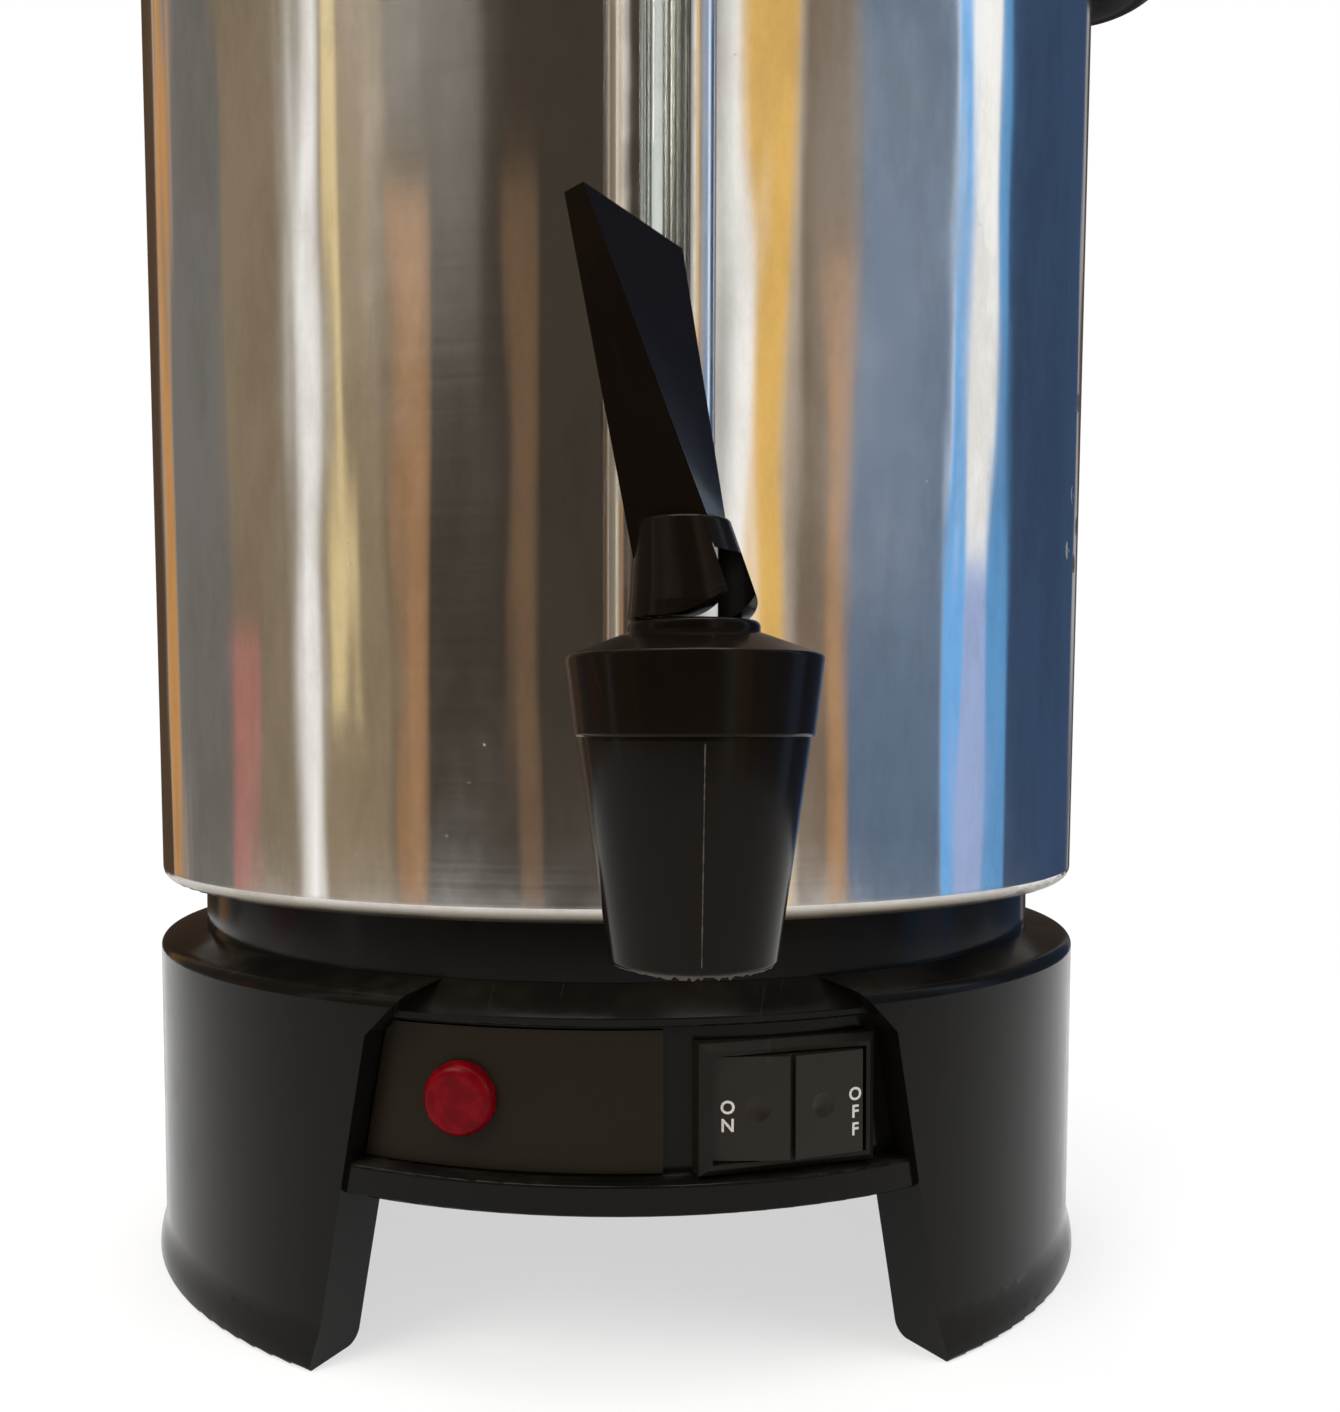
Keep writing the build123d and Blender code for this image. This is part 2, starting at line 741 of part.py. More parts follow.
def switch_terminals():
    """Blade terminals on the back of the switch."""
    x, y, z = terminal_size
    back = -bezel_face + switch_depth
    blade = block((-x / 2, x / 2), (back, back + y), (switch_z - z / 2, switch_z + z / 2))
    eye = back + y - terminal_hole_inset
    blade -= rod(terminal_hole_radius, (-x, eye, switch_z), (x, eye, switch_z))
    return [around(switch_azimuth, Pos(step * terminal_pitch, 0, 0) * blade) for step in (-1, 0, 1)]


# ---- Inlet ------------------------------------------------------------------------

def inlet_back():
    """Where the inlet's floor meets its pins, on the front's centre line until it is turned."""
    return -inlet_flange_face + inlet_depth - inlet_wall


def appliance_inlet():
    """Shell sunk in the rear panel, open to the back."""
    x, z = inlet_width / 2, inlet_height / 2
    high = z + inlet_flange_edge
    flange = block((-x - inlet_flange, x + inlet_flange), (-inlet_flange_face, -ridge_inside),
                   (inlet_z - high, inlet_z + high))
    flange = fillet(flange.edges().filter_by(Axis.Y), inlet_flange_round)
    flange -= Cylinder(panel_radius, 3 * base_height)
    shell = block((-x, x), (-inlet_flange_face, inlet_back() + inlet_wall), (inlet_z - z, inlet_z + z))
    shell = fillet(shell.edges().filter_by(Axis.Y), inlet_round)
    body = flange + shell
    hollow = block((-x + inlet_wall, x - inlet_wall), (-inlet_flange_face - beyond, inlet_back()),
                   (inlet_z - z + inlet_wall, inlet_z + z - inlet_wall))
    body -= fillet(hollow.edges().filter_by(Axis.Y), inlet_round - inlet_wall)
    for side in (-1, 1):
        pin_x = side * inlet_pin_pitch / 2
        body -= rod(inlet_pin_radius - inlet_pin_step, (pin_x, inlet_back() - beyond, inlet_z),
                    (pin_x, inlet_back() + inlet_wall + beyond, inlet_z))
    for place in inlet_screw_places():
        body -= rod(inlet_screw_radius, (place, -base_radius, inlet_z), (place, 0, inlet_z))
    return around(180, body)


def inlet_pins():
    """Round contact pins with tails behind the shell."""
    pins = []
    width, length, height = inlet_tail
    end = inlet_back() + inlet_wall
    for side in (-1, 1):
        x = side * inlet_pin_pitch / 2
        pin = rod(inlet_pin_radius, (x, inlet_back() - inlet_pin_length, inlet_z),
                  (x, inlet_back(), inlet_z))
        pin = chamfer(pin.edges().sort_by(Axis.Y)[0], inlet_pin_chamfer)
        pin += rod(inlet_pin_radius - inlet_pin_step, (x, inlet_back(), inlet_z), (x, end, inlet_z))
        tail = block((x - width / 2, x + width / 2), (end, end + length),
                     (inlet_z - height / 2, inlet_z + height / 2))
        pins.append(around(180, pin + tail))
    return pins


def inlet_screws():
    """Two screws that hold the inlet's flange."""
    screws = []
    for x in inlet_screw_places():
        face = -inlet_flange_face
        head = rod(screw_head_radius, (x, face - screw_head_height, inlet_z), (x, face, inlet_z))
        shank = rod(inlet_screw_radius, (x, face, inlet_z), (x, -ridge_inside, inlet_z))
        screws.append(around(180, head + shank))
    return screws


# ---- Vessel and heater --------------------------------------------------------------

def urn_body():
    """Drawn vessel: flat floor, rounded corner, leaning wall and a rolled rim."""
    top = wall_radius(rim_z)
    body = turned(
        (well_radius, vessel_floor), (vessel_radius, vessel_floor, vessel_corner), (top, rim_z),
        (top - vessel_wall, rim_z),
        (wall_radius(vessel_inside) - vessel_wall, vessel_inside, vessel_corner - vessel_wall),
        (well_radius, vessel_inside))
    body += Pos(0, 0, rim_z) * Torus(top, rim_bead)
    body -= around(vessel_turn, rod(shank_radius + hole_clearance, (0, 0, tap_z), (0, -tap_radius, tap_z)))
    for side in (-1, 1):
        for y in (-handle_half_span, handle_half_span):
            body -= around(vessel_turn, rod(handle_screw_radius, (0, y, handle_z),
                                            (side * 2 * vessel_radius, y, handle_z)))
    body -= around(vessel_turn, rod(screw_radius, (0, 0, gauge_screw_z()),
                                    (0, -tap_radius, gauge_screw_z())))
    return body


def heater_well():
    """Cup in the middle of the floor, with the stud of the heater's clamp under it."""
    outer = well_radius - well_clearance
    seat = vessel_inside + gasket_thickness
    cup = turned(
        (0, well_floor_z), (outer, well_floor_z, well_round), (outer, seat),
        (well_radius + well_flange, seat),
        (well_radius + well_flange, seat + well_wall), (outer - well_wall, seat + well_wall),
        (outer - well_wall, well_floor_z + well_wall, well_round - well_wall),
        (0, well_floor_z + well_wall))
    stud = rod(clamp_stud_radius, (0, 0, well_floor_z - clamp_stud_length), (0, 0, well_floor_z))
    return cup + stud


def well_gasket():
    """Flat silicone ring under the well's flange."""
    inner = well_radius - well_clearance
    return turned((inner, vessel_inside), (well_radius + well_flange, vessel_inside),
                  (well_radius + well_flange, vessel_inside + gasket_thickness),
                  (inner, vessel_inside + gasket_thickness))


def element_centre():
    """Radius of the ring heater's own circle, touching the well."""
    return well_radius - well_clearance + element_radius


def element_legs(radius, low):
    """Bars down from the ring heater's two ends."""
    leg = rod(radius, (0, -element_centre(), low), (0, -element_centre(), element_z))
    return ring_of((180 - element_gap / 2, 180 + element_gap / 2), leg)


def brew_element():
    """Open ring heater pressed against the well's wall, with two cold ends pointing down."""
    section = Plane.XZ * Pos(element_centre(), element_z) * Circle(element_radius)
    ring = around(element_gap / 2 + 90, revolve(section, Axis.Z, 360 - element_gap))
    return ring + element_legs(element_leg_radius, element_z - element_leg_length)


def element_clamp():
    """Pressed hat that holds the ring heater against the well."""
    seat = element_z - element_radius
    low = well_floor_z - clamp_thickness
    edge = element_centre() + clamp_width / 2
    body = turned((clamp_stud_radius, low), (well_radius + clamp_thickness, low),
                  (well_radius + clamp_thickness, seat - clamp_thickness), (edge, seat - clamp_thickness),
                  (edge, seat), (well_radius, seat), (well_radius, well_floor_z),
                  (clamp_stud_radius, well_floor_z))
    return body - element_legs(element_leg_radius + leg_clearance, low - beyond)


def clamp_nut():
    """Nut that draws the clamp up."""
    return Pos(0, 0, well_floor_z - clamp_thickness - nut_height) * hex_nut(
        nut_width, nut_height, clamp_stud_radius)


def thermostat():
    """Disc thermostat on the clamp, with two tabs."""
    top = well_floor_z - clamp_thickness
    low = top - thermostat_height
    width, thickness, length = thermostat_tab
    body = turned((0, low), (thermostat_radius, low, thermostat_round), (thermostat_radius, top), (0, top))
    for side in (-1, 1):
        y = side * thermostat_tab_offset
        body += block((-width / 2, width / 2), (y - thickness / 2, y + thickness / 2), (low - length, low))
    return Pos(thermostat_offset, 0, 0) * body


def thermal_fuse():
    """Fuse held against the clamp's underside."""
    z = well_floor_z - clamp_thickness - fuse_radius
    fuse = rod(fuse_radius, (-fuse_offset, -fuse_length / 2, z), (-fuse_offset, fuse_length / 2, z))
    reach = fuse_length / 2 + fuse_lead_length
    return fuse + rod(fuse_lead_radius, (-fuse_offset, -reach, z), (-fuse_offset, reach, z))


def base_studs():
    """Studs welded under the vessel that carry the base."""
    return ring_of(stud_azimuths, rod(stud_radius, (0, -stud_circle, vessel_floor - stud_length),
                                      (0, -stud_circle, vessel_floor)))


def base_nuts():
    """Nuts under the deck."""
    nut = Pos(0, -stud_circle, base_height - base_skin - nut_height) * hex_nut(
        nut_width, nut_height, stud_radius)
    return ring_of(stud_azimuths, nut)


# ---- Tap ----------------------------------------------------------------------------

def faucet_body():
    """Tapered spout with its seat and chamber, a neck for the bonnet and a rear boss."""
    body = turned(
        (spout_bore, spout_tip_z), (spout_tip_radius, spout_tip_z, spout_round),
        (spout_top_radius - joint_groove, joint_z - joint_groove),
        (spout_top_radius - joint_groove, joint_z),
        (spout_neck_radius, joint_z), (spout_neck_radius, joint_z + spout_neck_height),
        (chamber_radius, joint_z + spout_neck_height), (chamber_radius, seat_z),
        (seat_bore, seat_z), (seat_bore, seat_z - seat_thickness),
        (spout_bore, seat_z - seat_thickness))
    boss = rod(boss_outer_radius, (0, 0, tap_z), (0, boss_reach, tap_z))
    boss -= turned((0, spout_tip_z), (chamber_radius, spout_tip_z), (chamber_radius, bonnet_edge_z),
                   (0, bonnet_edge_z))
    body += boss
    socket = rod(shank_radius, (0, boss_reach - shank_socket, tap_z), (0, boss_reach, tap_z))
    passage = rod(shank_bore, (0, 0, tap_z), (0, boss_reach, tap_z))
    return at_tap(body - socket - passage)


def faucet_bonnet():
    """Cap screwed over the spout's neck: flared side, sloping shoulder and a ring on top."""
    inner = spout_neck_radius + thread_clearance
    return at_tap(turned(
        (inner, joint_z), (spout_top_radius, joint_z, bonnet_round),
        (bonnet_radius, bonnet_edge_z, bonnet_round),
        (bonnet_ring_radius, bonnet_ring_z), (bonnet_ring_radius, bonnet_top_z, bonnet_ring_round),
        (guide_radius + running, bonnet_top_z), (guide_radius + running, chamber_top_z),
        (inner, chamber_top_z)))


def stem_guide():
    """Bush that turns in the bonnet with the stem."""
    top = chamber_top_z - rest_gap
    return at_tap(turned(
        (stem_radius + running, top - guide_flange), (guide_flange_radius, top - guide_flange),
        (guide_flange_radius, top), (guide_radius, top), (guide_radius, bonnet_top_z),
        (stem_radius + running, bonnet_top_z)))


def cup_top_z():
    """Upper face of the seat cup."""
    return seat_z + rest_gap + cup_height


def valve_stem():
    """Stem with a flange over the cup, crossed by the lever's pin."""
    stub = seat_z + rest_gap + cup_floor
    flange = cup_top_z()
    stem = turned((0, stub), (stem_stub_radius, stub), (stem_stub_radius, flange),
                  (stem_flange_radius, flange), (stem_flange_radius, flange + stem_flange),
                  (stem_radius, flange + stem_flange), (stem_radius, pivot_z + stem_top, stem_round),
                  (0, pivot_z + stem_top))
    hole = rod(lever_pin_radius, (0, -stem_radius * 2, pivot_z), (0, stem_radius * 2, pivot_z))
    return at_tap(stem - Rot(0, 0, lever_azimuth) * hole)


def seat_cup():
    """Silicone cup that shuts on the seat."""
    low = seat_z + rest_gap
    return at_tap(turned((0, low), (cup_radius, low, cup_round), (cup_radius, cup_top_z(), cup_round),
                         (stem_stub_radius, cup_top_z()), (stem_stub_radius, low + cup_floor),
                         (0, low + cup_floor)))


def stem_spring():
    """Coil between the stem's flange and the guide."""
    low = cup_top_z() + stem_flange + spring_wire
    high = chamber_top_z - rest_gap - guide_flange - spring_wire
    path = Helix(spring_pitch, high - low, spring_radius)
    coil = sweep(Plane(origin=path @ 0, z_dir=path % 0) * Circle(spring_wire), path=path, is_frenet=True)
    return at_tap(Pos(0, 0, low) * coil)


def lever_pin():
    """Cross pin, held in the stem."""
    pin = rod(lever_pin_radius, (0, -lever_pin_near, pivot_z), (0, lever_pin_far, pivot_z))
    return at_tap(Rot(0, 0, lever_azimuth) * pin)


def lever_slot():
    """Space that the stem sweeps inside the lever, seen along the pin."""
    angle = math.radians(lever_throw)
    reach = 2 * skirt_radius
    side = stem_radius + stem_slot_clearance
    face = flat((-side, 0), (-side, -reach),
                (reach * math.sin(angle) + side * math.cos(angle),
                 -reach * math.cos(angle) + side * math.sin(angle)),
                (side * math.cos(angle), side * math.sin(angle)))
    sweep_room = Pos(0, side, 0) * extrude(face, 2 * side)
    tip = math.hypot(stem_top, stem_radius) + stem_slot_clearance
    return sweep_room + rod(tip, (0, -side, 0), (0, side, 0))


def below_cam():
    """Room under the skirt's foot, which is flat at rest and then an involute.

    The foot's distance from the pin grows by cam_rate for each radian, so that it stays on
    the bonnet as the lever tilts and lifts the stem evenly.
    """
    points = []
    for step in range(cam_steps + 1):
        tilt = math.radians(lever_throw) * step / cam_steps
        lift = skirt_drop + cam_rate * tilt
        points.append((lift * math.sin(tilt) + cam_rate * math.cos(tilt), 0,
                       cam_rate * math.sin(tilt) - lift * math.cos(tilt)))
    involute = Spline(*points)
    start, end = involute @ 0, involute @ 1
    reach = 2 * skirt_radius
    rest = Polyline(end, (reach, 0, end.Z), (reach, 0, -reach), (-reach, 0, -reach),
                    (-reach, 0, start.Z), start)
    return extrude(make_face([involute, *rest.edges()]), reach, both=True)


def lever():
    """Bell-shaped skirt over the stem, and a twisted blade that widens and thins to its top."""
    foot = turned((0, -skirt_drop - beyond), (skirt_radius, -skirt_drop - beyond),
                  (skirt_radius - skirt_taper, -skirt_drop + skirt_lip), (0, -skirt_drop + skirt_lip))
    wide = Plane.XY.offset(-skirt_drop + skirt_lip) * Circle(skirt_radius - skirt_taper)
    waist = Plane.XY.offset(waist_rise) * Pos(-waist_shift, 0) * Circle(skirt_waist)
    bell = loft([wide, waist])
    bell = fillet(bell.edges().sort_by(Axis.Z)[-1], waist_round)
    bell = foot + bell - below_cam()
    neck = Plane.XY.offset(lever_neck_rise) * Rot(0, 0, lever_twist) * Rectangle(
        lever_neck_thickness, lever_neck_width)
    top = Plane.XY.offset(lever_height) * Pos(0, -lever_top_offset)
    blade = loft([neck, top * Rectangle(lever_top_thickness, lever_top_width)])
    near = -lever_top_width / 2 - lever_top_offset
    far = near + lever_top_width
    slope = lever_top_fall / lever_top_width
    blade -= extrude(flat((near - beyond, lever_height + slope * beyond),
                          (far + beyond, lever_height - lever_top_fall - slope * beyond),
                          (far + beyond, lever_height + beyond), (near - beyond, lever_height + beyond),
                          plane=Plane.YZ), lever_top_thickness, both=True)
    body = bell + Pos(-lever_shift, 0, 0) * Rot(0, -lever_lean, 0) * blade
    body -= lever_slot()
    body -= rod(lever_pin_radius + running, (0, -lever_pin_near - running, 0), (0, 2 * skirt_radius, 0))
    return at_tap(Pos(0, 0, pivot_z) * Rot(0, 0, lever_azimuth) * body)


# ---- Shank and sight gauge ------------------------------------------------------------

def gauge_axis():
    """Distance of the gauge glass from the urn's axis, at the shank's height."""
    return wall_radius(tap_z) + gauge_reach


def along_wall(shape):
    """Lean a gauge piece, made upright with its foot at the origin, to follow the wall."""
    lean = Pos(0, -gauge_axis(), tap_z) * Rot(vessel_draft, 0, 0)
    return around(vessel_turn, lean * shape)


def gauge_screw_z():
    """Height of the screw behind the gauge's cap."""
    return tap_z + tee_rise + gauge_length + cap_height - gauge_screw_drop


def faucet_shank():
    """Threaded tube through the wall, with the tee that feeds the glass."""
    outer_end = -tap_radius + boss_reach - shank_socket
    inner_end = -wall_radius(tap_z) + shank_inside
    tube = rod(shank_radius, (0, outer_end, tap_z), (0, inner_end, tap_z))
    tee = along_wall(turned((0, -tee_drop), (tee_radius, -tee_drop, tee_round), (tee_radius, tee_rise),
                            (0, tee_rise)))
    tube = around(vessel_turn, tube) + (tee - drum(shank_washer))
    tube -= around(vessel_turn, rod(shank_bore, (0, outer_end, tap_z), (0, inner_end, tap_z)))
    ledge = tee_rise - seal_height
    socket = turned((0, 0), (glass_bore, 0), (glass_bore, ledge - glass_seat),
                    (glass_radius, ledge - glass_seat), (glass_radius, ledge),
                    (glass_radius + seal_width, ledge),
                    (glass_radius + seal_width, tee_rise), (0, tee_rise))
    return tube - along_wall(socket)


def nut_seat():
    """Distance from the urn's axis to the flat face that the shank's nut draws against."""
    return wall_radius(tap_z) - vessel_wall - inner_washer


def shank_washers():
    """Rubber washers that seal the wall, one each side."""
    start = (0, -wall_radius(tap_z) - washer_radius, tap_z)
    end = (0, -nut_seat(), tap_z)
    plug = rod(washer_radius, start, end) - rod(shank_radius, start, end)
    outside = (plug & around(-vessel_turn, drum(shank_washer))) - around(-vessel_turn, drum())
    inside = plug & around(-vessel_turn, drum(-vessel_wall))
    return [around(vessel_turn, outside), around(vessel_turn, inside)]


def shank_nut():
    """Hexagon nut inside the vessel."""
    nut = hex_nut(shank_nut_width, shank_nut_height, shank_radius)
    return around(vessel_turn, Pos(0, -nut_seat(), tap_z) * Rot(-90, 0, 0) * nut)


def gauge_glass():
    """Glass tube from the tee to the cap."""
    low = tee_rise - seal_height - glass_seat
    high = tee_rise + gauge_length + seal_height + glass_end
    return along_wall(turned((glass_bore, low), (glass_radius, low), (glass_radius, high),
                             (glass_bore, high)))


def gauge_seals():
    """Rubber rings at the glass's two ends."""
    ring = turned((glass_radius, -seal_height), (glass_radius + seal_width, -seal_height),
                  (glass_radius + seal_width, 0), (glass_radius, 0))
    return [along_wall(Pos(0, 0, tee_rise) * ring),
            along_wall(Pos(0, 0, tee_rise + gauge_length + seal_height) * ring)]


def gauge_shield():
    """Polished channel round the glass, with rounded shoulders and a slot to read through."""
    back = gauge_reach - gauge_clearance
    front = gauge_reach - gauge_depth
    low = tee_rise
    high = tee_rise + gauge_length

    def channel(inset, rear, start, end):
        half = gauge_half_width - inset
        face = flat((-half, rear), (-half, front + inset, gauge_round - inset),
                    (half, front + inset, gauge_round - inset), (half, rear), plane=Plane.XY)
        return Pos(0, 0, start) * extrude(face, end - start)

    body = channel(0, back, low, high)
    body -= channel(gauge_sheet, back + beyond, low - beyond, high + beyond)
    body -= block((-gauge_slot_half, gauge_slot_half), (front - beyond, front + gauge_sheet + beyond),
                  (low + gauge_slot_end, high - gauge_slot_end))
    return along_wall(body)


def gauge_cap():
    """Cap that closes the glass and the shield, with a lug against the wall."""
    body = turned((0, 0), (gauge_half_width, 0), (gauge_half_width, cap_height, cap_round), (0, cap_height))
    lug = block((-cap_lug_half, cap_lug_half), (0, 2 * gauge_reach), (0, cap_height - cap_lug_round))
    body += lug
    seal = glass_radius + seal_width
    body -= turned((0, -beyond), (seal, -beyond), (seal, seal_height), (glass_radius, seal_height),
                   (glass_radius, seal_height + glass_end), (0, seal_height + glass_end))
    body = along_wall(Pos(0, 0, tee_rise + gauge_length) * body)
    body -= drum()
    return body - around(vessel_turn, gauge_screw_shank())


def gauge_screw_shank():
    """Shank of the screw behind the gauge's cap, from inside the wall."""
    z = gauge_screw_z()
    inside = wall_radius(z) - vessel_wall
    return rod(screw_radius, (0, -inside - vessel_wall - gauge_screw_bite, z), (0, -inside, z))


def gauge_screw():
    """Screw through the wall into the gauge's cap."""
    z = gauge_screw_z()
    inside = wall_radius(z) - vessel_wall
    head = rod(screw_head_radius, (0, -inside - beyond, z), (0, -inside + screw_head_height, z))
    return around(vessel_turn, (head & around(-vessel_turn, drum(-vessel_wall))) + gauge_screw_shank())


# ---- Handles --------------------------------------------------------------------------

def handle(side):
    """Loop handle: an oval bar bent out of two posts."""
    wall = wall_radius(handle_z)
    out = wall + handle_reach
    root = wall - handle_half_width * 2
    path = FilletPolyline((root, -handle_half_span), (out, -handle_half_span + handle_taper),
                          (out, handle_half_span - handle_taper), (root, handle_half_span),
                          radius=handle_round)
    section = Plane(origin=path @ 0, z_dir=path % 0, x_dir=(0, 0, 1)) * Ellipse(
        handle_half_height, handle_half_width)
    bar = Pos(0, 0, handle_z) * sweep(section, path=path)
    if side < 0:
        bar = Rot(0, 0, 180) * bar
    bar = around(vessel_turn, bar) - drum(bracket_thickness)
    return bar - handle_screw_rods(side)


def handle_screw_rods(side):
    """Shanks of one handle's two screws."""
    wall = wall_radius(handle_z)
    rods = []
    for y in (-handle_half_span, handle_half_span):
        start = math.sqrt(wall ** 2 - y ** 2) - vessel_wall - handle_screw_depth
        rods.append(around(vessel_turn, rod(handle_screw_radius, (side * start, y, handle_z),
                                            (side * (start + handle_screw_bite), y, handle_z))))
    return rods


def handle_brackets():
    """Pressed plates between the handles' ends and the wall."""
    sheet = drum(bracket_thickness) - drum()
    plates = []
    for side in (-1, 1):
        for y in (-handle_half_span, handle_half_span):
            place = block(sorted((0, side * 2 * vessel_radius)),
                          (y - bracket_half_width, y + bracket_half_width),
                          (handle_z - bracket_half_height, handle_z + bracket_half_height))
            plates.append((sheet & around(vessel_turn, place)) - handle_screw_rods(side))
    return plates


def handle_screws():
    """Screws from inside the vessel, with heads that follow the wall."""
    wall = wall_radius(handle_z)
    screws = []
    for side in (-1, 1):
        shanks = handle_screw_rods(side)
        for y, shank in zip((-handle_half_span, handle_half_span), shanks):
            start = math.sqrt(wall ** 2 - y ** 2) - vessel_wall - handle_screw_depth
            head = around(vessel_turn, rod(handle_screw_head, (side * start, y, handle_z),
                                           (side * wall, y, handle_z)))
            screws.append((head & drum(-vessel_wall)) + shank)
    return screws


# ---- Lid ------------------------------------------------------------------------------

def lid_crown_z():
    """Top of the lid's crown."""
    return rim_z + lid_rise


def lid():
    """Spun lid: crown, step, an edge rolled over the rim and a flange inside the vessel."""
    seat = rim_z + rim_bead + lid_gap
    edge = wall_radius(rim_z) + rim_bead + lid_overhang
    plug = wall_radius(rim_z) - vessel_wall - rim_bead * 0.5 - lid_gap
    crown = lid_crown_z()
    pad = knob_foot + lid_pad
    cover = turned(
        (0, crown - lid_sheet), (pad, crown - lid_sheet, lid_pad_round),
        (plug - lid_step, crown - lid_step, lid_crown_round), (plug - lid_step / 2, seat, lid_step_round),
        (edge - lid_sheet, seat, lid_edge_round), (edge - lid_sheet, seat - lid_drop),
        (edge, seat - lid_drop), (edge, seat + lid_sheet, lid_edge_round + lid_sheet),
        (plug - lid_step / 2 + lid_slope, seat + lid_sheet, lid_step_round),
        (plug - lid_step + lid_slope, crown - lid_step + lid_sheet, lid_crown_round),
        (pad, crown, lid_pad_round), (0, crown))
    flange = turned((plug - lid_sheet, seat - lid_plug), (plug, seat - lid_plug),
                    (plug, seat + lid_sheet / 2),
                    (plug - lid_sheet, seat + lid_sheet / 2))
    return cover + flange - Cylinder(knob_screw_radius, 4 * rim_z)


def lid_knob():
    """Mushroom knob."""
    low = lid_crown_z() + knob_washer
    knob = turned((0, low), (knob_foot, low, knob_foot_round),
                  (knob_waist, low + knob_waist_rise, knob_waist_round),
                  (knob_radius, low + knob_brim_low, knob_round),
                  (knob_radius, low + knob_brim_high, knob_round),
                  (knob_waist, low + knob_height, knob_round), (0, low + knob_height))
    return knob - rod(knob_screw_radius, (0, 0, low), (0, 0, low + knob_screw_bite))


def lid_washer():
    """Washer that keeps heat out of the knob."""
    low = lid_crown_z()
    return turned((knob_screw_radius, low), (knob_foot, low), (knob_foot, low + knob_washer),
                  (knob_screw_radius, low + knob_washer))


def lid_knob_screw():
    """Screw from under the lid into the knob."""
    low = lid_crown_z() - lid_sheet
    head = rod(knob_screw_head_radius, (0, 0, low - knob_screw_head), (0, 0, low))
    return head + rod(knob_screw_radius, (0, 0, low - knob_screw_head),
                      (0, 0, low + lid_sheet + knob_washer + knob_screw_bite))


# ---- Brewing set ------------------------------------------------------------------------

def foot_z():
    """Lower edge of the pump's foot, standing in the well."""
    return well_floor_z + well_wall + foot_clearance


def disc_z():
    """Lower face of the pump's loose disc."""
    return foot_z() + plate_rise + foot_skin + foot_clearance


def pump_foot():
    """Bell with inlet notches, a seat plate and the guide post of the loose disc."""
    low = foot_z()
    collar = stem_tube_radius + foot_skin
    top = low + foot_rise
    body = turned(
        (foot_radius - foot_skin, low), (foot_radius, low),
        (foot_radius, low + foot_skirt, foot_bell_round),
        (collar, top - foot_collar, foot_bell_round), (collar, top), (stem_tube_radius, top),
        (stem_tube_radius, top - tube_seat, foot_bell_inside),
        (foot_radius - foot_skin, low + foot_inside_skirt, foot_bell_inside))
    seat = low + plate_rise
    body += turned((0, seat), (foot_radius - foot_skin / 2, seat),
                   (foot_radius - foot_skin / 2, seat + foot_skin), (0, seat + foot_skin))
    body += rod(guide_post_radius, (0, 0, seat), (0, 0, disc_z() + pump_disc_thickness + post_over))
    hole = rod(inlet_hole_radius, (0, -inlet_hole_circle, seat - beyond),
               (0, -inlet_hole_circle, seat + foot_skin + beyond))
    body -= ring_of(evenly(inlet_holes), hole)
    notch = block((-foot_notch_half, foot_notch_half), (-foot_radius - beyond, -foot_radius + 2 * foot_skin),
                  (low - beyond, low + plate_rise))
    return body - ring_of(evenly(foot_notches), notch)


def pump_washer():
    """Loose disc that lets water in and shuts as it boils."""
    low = disc_z()
    inner = guide_post_radius + post_clearance
    return turned((inner, low), (pump_disc_radius, low), (pump_disc_radius, low + pump_disc_thickness),
                  (inner, low + pump_disc_thickness))


def pump_stem():
    """Riser tube with the collar that carries the basket."""
    low = foot_z() + foot_rise - tube_seat
    inner = stem_tube_radius - stem_tube_wall
    collar = stem_tube_radius + riser_collar
    return turned((inner, low), (stem_tube_radius, low), (stem_tube_radius, basket_floor_z - riser_collar),
                  (collar, basket_floor_z - riser_collar / 2), (collar, basket_floor_z),
                  (stem_tube_radius, basket_floor_z), (stem_tube_radius, tube_top_z), (inner, tube_top_z))


def holes(rings, radius, low, high):
    """Rings of holes, each given as (circle radius, count)."""
    drills = []
    for circle, count in rings:
        drills += ring_of(evenly(count), rod(radius, (0, -circle, low), (0, -circle, high)))
    return drills


def basket():
    """Coffee basket: perforated floor, tapered wall, rolled rim and a sleeve for the riser."""
    low = basket_floor_z
    foot = basket_radius - basket_taper
    sleeve = stem_tube_radius + sleeve_clearance
    inside = basket_radius - basket_sheet
    body = turned(
        (sleeve, low), (foot, low, basket_corner), (basket_radius, basket_rim_z), (inside, basket_rim_z),
        (foot - basket_sheet, low + basket_sheet, basket_corner - basket_sheet),
        (sleeve + basket_sheet, low + basket_sheet), (sleeve + basket_sheet, low + basket_sleeve),
        (sleeve, low + basket_sleeve))
    body += turned((inside, basket_rim_z - basket_rim_high),
                   (basket_radius + basket_rim_out, basket_rim_z - basket_rim_high),
                   (basket_radius + basket_rim_out, basket_rim_z), (inside, basket_rim_z))
    return body - holes(basket_rings, basket_hole, low - beyond, low + basket_sheet + beyond)


def basket_cover():
    """Perforated spreader that hangs in the basket's mouth by its rim."""
    rim = basket_rim_z + lid_gap
    dish = rim - cover_well
    inner = stem_tube_radius + cover_bore
    edge = basket_radius - cover_rim
    outer = basket_radius + cover_overlap
    inset = basket_sheet * 0.75
    body = turned(
        (inner, dish), (edge - cover_slope, dish), (edge, rim), (outer, rim), (outer, rim + basket_sheet),
        (edge - inset, rim + basket_sheet), (edge - cover_slope - inset, dish + basket_sheet),
        (inner, dish + basket_sheet))
    return body - holes(cover_rings, basket_hole, dish - beyond, dish + basket_sheet + beyond)


